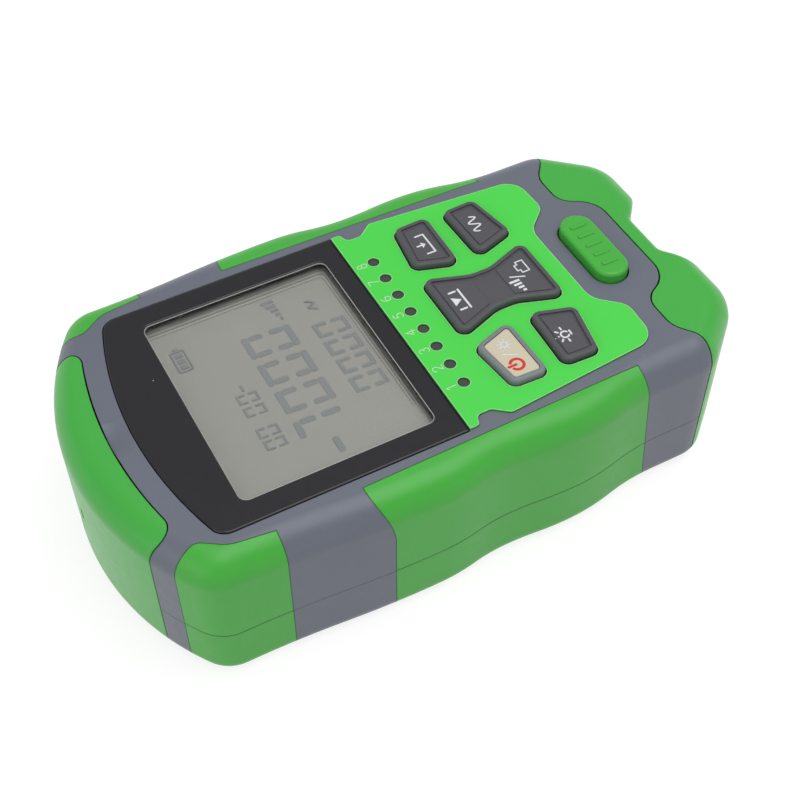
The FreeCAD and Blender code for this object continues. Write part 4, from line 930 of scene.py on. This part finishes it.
    def rim(self) -> bpy.types.Object:
        """Builds a painted highlight: the bright line round the window, where the clear cover's edge catches
        light.

        Returns:
            The piece.
        """
        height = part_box("screen_bezel")[1].z - self.rim_drop_mm * MM
        wide = self.line_mm
        mesh = bmesh.new()
        rings = []
        for inset, lift in ((0.0, 0.0), (0.0, wide), (wide, wide), (wide, 0.0)):
            rings.append([mesh.verts.new((x, y, height + lift * MM)) for x, y in scaled(self.outline(inset))])
        count = len(rings[0])
        for a, b in zip(rings, rings[1:] + rings[:1]):
            for k in range(count):
                mesh.faces.new([a[k], a[(k + 1) % count], b[(k + 1) % count], b[k]])
        bmesh.ops.recalc_face_normals(mesh, faces=mesh.faces)
        piece = Marks.piece("painted_window_glint", mesh)
        # a pale painted highlight on a thin strip just under the bezel's top
        glint = Moulding(
            "glint_grey", chip(176, 176, 172), chip(214, 214, 210), 0.2, relief_mm=0.001, cloud=0.35
        )
        piece.data.materials.append(glint.make())
        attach(piece, "meter")
        return piece

    def steps(self, panel: bpy.types.Object) -> list[bpy.types.Object]:
        """Builds painted reflections of the bezel's window wall: fine dark and pale lines along the panel's
        right and near edges.

        Args:
            panel: the display panel.

        Returns:
            The pieces.
        """
        half, low, high = self.window_mm
        bend = self.step_bend_mm
        pieces = []
        # painted reflections of the bezel's window wall on the panel: dark and pale lines
        for name, insets, tone in (("painted_reflection_dark", self.reflection_dark_insets_mm, chip(84, 84, 82)),
                                   ("painted_reflection_pale", self.reflection_pale_insets_mm, chip(158, 157, 150))):
            marks = Marks(name, panel, 0.008 * MM)
            for inset in insets:
                foot = low + inset * self.near_share
                corner = arc(half - inset - bend, foot + bend, bend, 270, 360, 6)
                ends = (-half + self.step_start_mm, foot), (half - inset, high - self.step_end_mm)
                marks.stroke(scaled([ends[0], *corner, ends[1]]), self.line_mm * MM)
            finish = Moulding(name, tone, tone, 0.4, relief_mm=0.0, cloud=0.08)
            pieces.append(marks.done(finish.make(), "meter", Slot.LCD_GREY))
        return pieces

    def build(self, nodes: dict[str, bpy.types.Object]) -> list[bpy.types.Object]:
        """Builds the segments and the lines round them.

        Args:
            nodes: the frame's nodes.

        Returns:
            The pieces.
        """
        tone = chip(101, 104, 105)
        ghost = Moulding("segment_grey", tone, tone, 0.4, relief_mm=0.0, cloud=0.06)
        marks = Marks("lcd_segments", nodes["lcd_panel"], 0.01 * MM)
        self.segments(marks)
        segments = marks.done(ghost.make(), "meter", Slot.LCD_GREY)
        return [segments, self.rim(), *self.steps(nodes["lcd_panel"])]


@dataclass
class Keypad:
    """The printed film and keys: place numbers, pictograms and the power and lamp signs."""

    numbers_mm: tuple[float, ...] = (-16.3, -11.6, -6.95, -2.2, 2.4, 7.0, 11.6, 16.2)
    numbers_foot_mm: float = -3.6
    number_tall_mm: float = 1.8
    number_line_mm: float = 0.19
    line_mm: float = 0.36
    tray_mm: Flat = (15.15, -15.9)
    wave_mm: Flat = (13.5, -25.7)
    wave_high_mm: float = 0.95
    wave_long_mm: float = 2.04
    wave_step_mm: float = 0.12
    torch_mm: Flat = (-15.8, -25.35)
    zero_mm: Flat = (-0.1, -14.5)
    levels_mm: Flat = (-3.6, -25.4)
    socket_mm: Flat = (0.5, -28.3)
    power_mm: Flat = (-17.8, -14.55)
    sun_mm: Flat = (-12.95, -14.85)

    def numbers(self, carrier: bpy.types.Object) -> Marks:
        """The indicators' numbers, 1 to 8."""
        marks = Marks("indicator_numbers", carrier, 0.02 * MM)
        tall = self.number_tall_mm
        for digit, x in zip(DIGITS, self.numbers_mm):
            for line in DIGITS[digit]:
                points = [(x + (u - 0.3) * tall, self.numbers_foot_mm + v * tall) for u, v in line]
                self.line(marks, points, self.number_line_mm)
        return marks

    def line(self, marks: Marks, points: Iterable[Flat], wide: float | None = None) -> None:
        """Adds a pictogram line given in millimetres.

        Args:
            marks: the marks that it joins.
            points: its points.
            wide: its width, or none for the usual one.
        """
        marks.stroke(scaled(points), (wide or self.line_mm) * MM)

    def corners(self, marks: Marks, points: list[Flat], wide: float | None = None) -> None:
        """Adds a line of separate straight strokes, so that its corners stay sharp."""
        for start, end in zip(points, points[1:]):
            self.line(marks, [start, end], wide)

    def rays(
        self, marks: Marks, centre: Flat, turns: Iterable[float], reach: Flat, wide: float | None = None
    ) -> None:
        """Adds short lines round a centre.

        Args:
            marks: the marks that they join.
            centre: the centre in millimetres.
            turns: the lines' angles in degrees.
            reach: how far out they start and end, in millimetres.
            wide: their width, or none for the usual one.
        """
        for turn in turns:
            cos, sin = math.cos(math.radians(turn)), math.sin(math.radians(turn))
            self.line(marks, placed(centre, [(far * cos, far * sin) for far in reach]), wide)

    def store(self, marks: Marks) -> None:
        """An arrow into a tray."""
        self.line(marks, placed(self.tray_mm, [(0.0, 2.4), (0.0, 1.4)]))
        marks.fill(scaled(placed(self.tray_mm, [(0.0, 0.7), (0.8, 1.55), (-0.8, 1.55)])))
        self.corners(marks, placed(self.tray_mm, [(-2.45, 1.6), (-2.45, 0.0), (2.45, 0.0), (2.45, 1.6)]))

    def wave(self, marks: Marks) -> None:
        """Two periods of a wave."""
        along = [self.wave_step_mm * k for k in range(2 * round(self.wave_long_mm / self.wave_step_mm) + 1)]
        rises = [self.wave_high_mm * math.sin(x * math.tau / self.wave_long_mm) for x in along]
        self.line(marks, placed(self.wave_mm, zip(along, rises)), 0.34)

    def torch(self, marks: Marks) -> None:
        """A lamp with rays."""
        self.line(marks, arc(*self.torch_mm, 0.72, -58, 238))
        self.line(marks, placed(self.torch_mm, [(-0.45, -1.1), (0.45, -1.1)]))
        self.rays(marks, self.torch_mm, (0, 45, 90, 135, 180), (1.25, 1.75))

    def rocker(self, marks: Marks) -> None:
        """A zero mark on one panel; level bars and a socket on the other."""
        self.line(marks, placed(self.zero_mm, [(-2.4, 0.0), (2.4, 0.0)]), 0.42)
        marks.fill(scaled(placed(self.zero_mm, [(0.0, 0.5), (1.1, 2.2), (-1.1, 2.2)])))
        for side in (-2.2, 2.2):
            self.line(marks, placed(self.zero_mm, [(side, 0.7), (side, 1.9)]), 0.42)
        for k in range(4):
            marks.fill(scaled(oblong(moved(self.levels_mm, 0.85 * k), 0.52, 0.7 + 0.45 * k)))
        self.line(marks, placed(self.socket_mm, [(-1.0, 1.6), (0.0, 4.1)]), 0.3)
        outline = [(0.0, 0.0), (2.8, 0.0), (2.8, 1.4), (2.1, 1.4), (2.1, 2.0),
                   (0.7, 2.0), (0.7, 1.4), (0.0, 1.4), (0.0, 0.0)]
        self.corners(marks, placed(self.socket_mm, outline), 0.28)

    def power(self, marks: Marks) -> None:
        """An open ring with a bar through its gap."""
        self.line(marks, arc(*self.power_mm, 1.18, -236, 56, 24), 0.52)
        self.line(marks, placed(self.power_mm, [(0.0, 1.6), (0.0, 0.2)]), 0.5)

    def sun(self, marks: Marks) -> None:
        """A slanted stroke and a ring with eight rays."""
        self.line(marks, placed(self.sun_mm, [(-3.0, -0.9), (-1.8, 1.5)]), 0.32)
        self.line(marks, arc(*self.sun_mm, 0.6, 0, 360, 20), 0.3)
        self.rays(marks, self.sun_mm, [45.0 * k + 22.5 for k in range(8)], (0.85, 1.3), 0.26)

    def build(self, nodes: dict[str, bpy.types.Object]) -> list[bpy.types.Object]:
        """Builds every printed mark on the film and keys.

        Args:
            nodes: the frame's nodes.

        Returns:
            The pieces.
        """
        white, pale, red = (
            Moulding(name, tone, worn_and_glint, 0.5, relief_mm=0.001).make()
            for name, tone, worn_and_glint in (
                ("print_white", chip(226, 228, 230), chip(180, 182, 186)),
                ("print_pale", chip(196, 240, 196), chip(170, 230, 170)),
                ("print_red", chip(218, 38, 40), chip(200, 60, 50)),
            )
        )
        pieces = [self.numbers(nodes["keypad_overlay"]).done(pale, "meter", Slot.LIGHT_WHITE)]
        for name, carrier, body, ink, draw in (
            ("save_key_sign", "save_key", "save_key_body", white, self.store),
            ("wavelength_key_sign", "wavelength_key", "wavelength_key_body", white, self.wave),
            ("lamp_key_sign", "lamp_key", "lamp_key_body", white, self.torch),
            ("rocker_key_sign", "rocker_key", "rocker_key_body", white, self.rocker),
            ("power_sign", "power_key_insert", "power_key_body", red, self.power),
            ("lamp_sign", "power_key_insert", "power_key_body", white, self.sun),
        ):
            marks = Marks(name, nodes[carrier])
            draw(marks)
            pieces.append(marks.done(ink, body, Slot.LIGHT_WHITE))
        return pieces


@dataclass
class Seams:
    """The fine lines where two mouldings meet, drawn along their outer edges, and a painted highlight along
    the film's top edges.

    Each strip's top stands a share of layer over rise, and the share goes on by layer_step a face, so
    that neighbours don't share a plane. A strip runs past its edge by the share lap of its width.
    """

    wide: float = 0.16 * MM
    lap: float = 0.3
    rise: float = 0.01 * MM
    layer: float = 0.012 * MM
    layer_step: float = 0.103
    sink: float = 0.03 * MM
    sharp: float = 0.5
    weld: float = 0.0001 * MM
    probe_lift: float = 0.05 * MM
    probe_inset: float = 0.02 * MM
    probe_reach: float = 0.04
    foot: float = 0.3 * MM
    joint_room: float = 0.03 * MM
    film_room: float = 0.02 * MM
    lowest_slope: float = -0.3
    flat_slope: float = 0.9
    mouldings: tuple[str, ...] = ("front_shell", "rear_shell", "port_cover", "remote_housing", "screen_bezel")
    pads: tuple[str, ...] = ("grip_pad_front", "corner_pad_front", "grip_pad_rear", "corner_pad_rear")
    around: list[BVHTree] = field(default_factory=list)
    limits: tuple = field(default_factory=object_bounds)

    def shown(self, mesh: bmesh.types.BMesh, keep: Callable[[Vector, Vector], bool]) -> list[tuple]:
        """Finds the sharp edges that show on the outside.

        Args:
            mesh: the moulding's mesh.
            keep: says from an edge's middle and outward normal whether it is wanted.

        Returns:
            The start, end and outward normal of each.
        """
        found = []
        for edge in mesh.edges:
            if len(edge.link_faces) != 2 or edge.calc_face_angle(0.0) < self.sharp:
                continue
            middle = (edge.verts[0].co + edge.verts[1].co) / 2.0
            for face in edge.link_faces:
                if keep(middle, face.normal) and not self.covered(middle, face):
                    found.append((edge.verts[0].co.copy(), edge.verts[1].co.copy(), face.normal.copy()))
        return found

    def covered(self, middle: Vector, face: bmesh.types.BMFace) -> bool:
        """Says whether another moulding lies over a face beside an edge.

        Args:
            middle: the edge's middle.
            face: the face.

        Returns:
            True where one lies over it.
        """
        start = middle + face.normal * self.probe_lift
        start += (face.calc_center_median() - middle).normalized() * self.probe_inset
        return any(tree.ray_cast(start, face.normal, self.probe_reach)[0] for tree in self.around)

    def ribbon(self, into: bmesh.types.BMesh, start: Vector, end: Vector, normal: Vector) -> None:
        """Adds a thin strip along one edge.

        Args:
            into: the mesh that it joins.
            start: the edge's start.
            end: its end.
            normal: the outward direction.
        """
        way = (end - start).normalized()
        side = normal.cross(way).normalized() * self.wide / 2.0
        over = way * self.wide * self.lap
        rise = self.rise + self.layer * (len(into.faces) * self.layer_step % 1.0)
        corners = ((-1, -self.sink), (1, -self.sink), (1, rise), (-1, rise))
        first, last = (
            [into.verts.new(self.inside(point + side * s + normal * lift)) for s, lift in corners]
            for point in (start - over, end + over)
        )
        into.faces.new(first)
        into.faces.new(reversed(last))
        for k in range(4):
            into.faces.new([first[k], last[k], last[(k + 1) % 4], first[(k + 1) % 4]])

    def inside(self, point: Vector) -> list[float]:
        """The point, held inside the solids' box."""
        return [min(max(at, low), high) for at, low, high in zip(point, *self.limits)]

    def trace(
        self, name: str, sources: list[bpy.types.Object], keep: Callable[[Vector, Vector], bool],
        material: bpy.types.Material
    ) -> bpy.types.Object:
        """Draws the lines of one or more mouldings as a piece.

        Args:
            name: the piece's name.
            sources: the mouldings.
            keep: says which edges are wanted.
            material: the finish.

        Returns:
            The piece.
        """
        into = bmesh.new()
        for source in sources:
            mesh = bmesh.new()
            mesh.from_mesh(source.data)
            bmesh.ops.remove_doubles(mesh, verts=mesh.verts, dist=self.weld)
            for start, end, normal in self.shown(mesh, keep):
                self.ribbon(into, start, end, normal)
            mesh.free()
        bmesh.ops.recalc_face_normals(into, faces=into.faces)
        piece = Marks.piece(name, into)
        piece.data.materials.append(material)
        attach(piece, "meter")
        return piece

    def build(self, nodes: dict[str, bpy.types.Object]) -> list[bpy.types.Object]:
        """Builds the lines.

        Args:
            nodes: the frame's nodes.

        Returns:
            The pieces.
        """
        for name in self.mouldings:
            data = nodes[name].data
            self.around.append(
                BVHTree.FromPolygons([v.co for v in data.vertices], [p.vertices for p in data.polygons])
            )
        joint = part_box("grip_pad_rear_left")[1].z
        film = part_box("keypad_overlay")[1].z

        def pad_edge(middle: Vector, normal: Vector) -> bool:
            """Leaves out a pad's foot, its parting line and faces that look down."""
            apart = abs(middle.z - joint) > self.joint_room
            return middle.z > self.foot and apart and normal.z > self.lowest_slope

        def film_glint_edge(middle: Vector, normal: Vector) -> bool:
            """Keeps the edges of the film's top, where a painted highlight runs."""
            return middle.z > film - self.film_room and normal.z > self.flat_slope

        dark = Moulding("seam_green", chip(44, 98, 44), chip(60, 110, 60), 0.5, relief_mm=0.001).make()
        # a pale painted highlight along the film's top edges
        pale = Moulding("film_glint_edge", chip(150, 240, 146), chip(190, 246, 186), 0.4, relief_mm=0.001).make()
        pieces = []
        for pad in self.pads:
            sources = [nodes[f"{pad}_{side}"] for side in ("left", "right")]
            pieces.append(self.trace(f"{pad}_seam", sources, pad_edge, dark))
        overlay = [nodes["keypad_overlay"]]
        pieces.append(self.trace("overlay_painted_glint", overlay, film_glint_edge, pale))
        return pieces


@dataclass
class Studio:
    """The floor, the soft light and the camera."""

    azimuth: float = 241.747
    elevation: float = 49.799
    roll: float = 0.089
    away_mm: float = 233.42
    aim_mm: tuple[float, float, float] = (-14.43, 6.03, 30.0)
    lens_mm: float = 63.32
    film_mm: float = 36.0
    nearest: float = 0.005
    floor_reach: float = 1.6
    floor_drop: float = 0.02 * MM
    floor_grey: float = 0.62
    floor_rough: float = 0.9
    floor_seen: float = 0.26
    floor_glow: float = 0.82
    sky: float = 0.46
    backdrop_top: float = 0.3
    lamps: tuple = (("top_lamp", (-0.06, -0.16, 0.68), 0.6, 2.75), ("end_lamp", (-0.2, 0.65, 0.35), 0.5, 0.9))

    def floor(self) -> bpy.types.Object:
        """Lays a pale floor that keeps the object's shadow and shows white.

        Returns:
            The floor.
        """
        mesh = bmesh.new()
        bmesh.ops.create_grid(mesh, x_segments=8, y_segments=8, size=self.floor_reach)
        data = bpy.data.meshes.new("floor")
        mesh.to_mesh(data)
        mesh.free()
        floor = bpy.data.objects.new("floor", data)
        bpy.context.scene.collection.objects.link(floor)
        floor.location.z = -self.floor_drop
        graph = Graph("floor_white")
        graph.set(Base_Color=(self.floor_grey,) * 3, Roughness=self.floor_rough)
        seen = graph.add("ShaderNodeBsdfDiffuse")
        graph.feed(seen.inputs["Color"], (self.floor_seen,) * 3)
        glow = graph.add("ShaderNodeEmission")
        glow.inputs["Strength"].default_value = self.floor_glow
        both = graph.add("ShaderNodeAddShader")
        graph.join(seen.outputs["BSDF"], both.inputs[0])
        graph.join(glow.outputs["Emission"], both.inputs[1])
        mixed = graph.add("ShaderNodeMixShader")
        graph.join(self.watched(graph), mixed.inputs[0])
        graph.join(graph.shader.outputs["BSDF"], mixed.inputs[1])
        graph.join(both.outputs["Shader"], mixed.inputs[2])
        graph.join(mixed.outputs["Shader"], graph.output.inputs["Surface"])
        data.materials.append(graph.material)
        floor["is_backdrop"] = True
        return floor

    @staticmethod
    def watched(graph: Graph) -> Socket:
        """1 for rays that come straight, mirrored or through glass to the eye."""
        path = graph.add("ShaderNodeLightPath").outputs
        near = graph.math("MAXIMUM", path["Is Camera Ray"], path["Is Glossy Ray"])
        return graph.math("MAXIMUM", near, path["Is Transmission Ray"])

    def world(self) -> None:
        """Sets an even sky that shows white."""
        world = bpy.data.worlds.new("studio")
        bpy.context.scene.world = world
        world.use_nodes = True
        tree = world.node_tree
        sky = tree.nodes["Background"]
        sky.inputs["Color"].default_value = (1.0, 1.0, 1.0, 1.0)
        path = tree.nodes.new("ShaderNodeLightPath").outputs

        def step(operation: str, first: object, second: object) -> Socket:
            """One step of arithmetic on sockets or numbers."""
            node = tree.nodes.new("ShaderNodeMath")
            node.operation = operation
            for place, value in zip(node.inputs, (first, second)):
                if isinstance(value, float):
                    place.default_value = value
                else:
                    tree.links.new(value, place)
            return node.outputs[0]

        height = tree.nodes.new("ShaderNodeSeparateXYZ")
        tree.links.new(tree.nodes.new("ShaderNodeTexCoord").outputs["Generated"], height.inputs[0])
        low = step("LESS_THAN", height.outputs["Z"], self.backdrop_top)
        backdrop = step("MULTIPLY", path["Is Glossy Ray"], low)
        first_look = step("LESS_THAN", path["Diffuse Depth"], 0.5)
        glass = step("MULTIPLY", path["Is Transmission Ray"], first_look)
        shown = step("MAXIMUM", step("MAXIMUM", path["Is Camera Ray"], backdrop), glass)
        strength = tree.nodes.new("ShaderNodeMapRange")
        tree.links.new(shown, strength.inputs["Value"])
        strength.inputs["To Min"].default_value = self.sky
        strength.inputs["To Max"].default_value = 1.0
        tree.links.new(strength.outputs["Result"], sky.inputs["Strength"])

    def lamp(self, name: str, place: tuple[float, float, float], size: float, power: float) -> None:
        """Hangs a soft square lamp that faces the object.

        Args:
            name: the lamp's name.
            place: where it hangs, in metres.
            size: its side in metres.
            power: its power in watts.
        """
        data = bpy.data.lights.new(name, "AREA")
        data.shape = "SQUARE"
        data.size = size
        data.energy = power
        lamp = bpy.data.objects.new(name, data)
        bpy.context.scene.collection.objects.link(lamp)
        lamp.location = place
        lamp.rotation_euler = Vector(place).to_track_quat("Z", "Y").to_euler()

    def camera(self) -> None:
        """Places the camera."""
        turn, rise, roll = (math.radians(a) for a in (self.azimuth, self.elevation, self.roll))
        look = Vector((-math.sin(turn) * math.cos(rise), math.cos(turn) * math.cos(rise), -math.sin(rise)))
        right = Vector((math.cos(turn), math.sin(turn), 0.0))
        down = look.cross(right)
        across = right * math.cos(roll) + down * math.sin(roll)
        below = down * math.cos(roll) - right * math.sin(roll)
        data = bpy.data.cameras.new("camera")
        data.lens = self.lens_mm
        data.sensor_width = self.film_mm
        data.clip_start = self.nearest
        camera = bpy.data.objects.new("camera", data)
        bpy.context.scene.collection.objects.link(camera)
        place = (Vector(self.aim_mm) - look * self.away_mm) * MM
        basis = Matrix((across, -below, -look)).transposed().to_4x4()
        camera.matrix_world = Matrix.Translation(place) @ basis
        bpy.context.scene.camera = camera

    def build(self) -> None:
        """Sets up the floor, light and camera."""
        bpy.context.scene.view_settings.view_transform = "Standard"
        self.floor()
        self.world()
        for lamp in self.lamps:
            self.lamp(*lamp)
        self.camera()


def main() -> None:
    """Loads the frame, dresses it and sets up the studio."""
    logging.basicConfig(level=logging.INFO, format="%(message)s")
    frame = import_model()
    nodes = frame["nodes"]
    wardrobe = Wardrobe()
    wardrobe.make()
    wardrobe.dress(nodes)
    for assembly in (Display(), Keypad(), Seams()):
        for piece in assembly.build(nodes):
            log.info("%s: %s, %d faces", type(assembly).__name__, piece.name, len(piece.data.polygons))
    Studio().build()


if __name__ == "__main__":
    main()
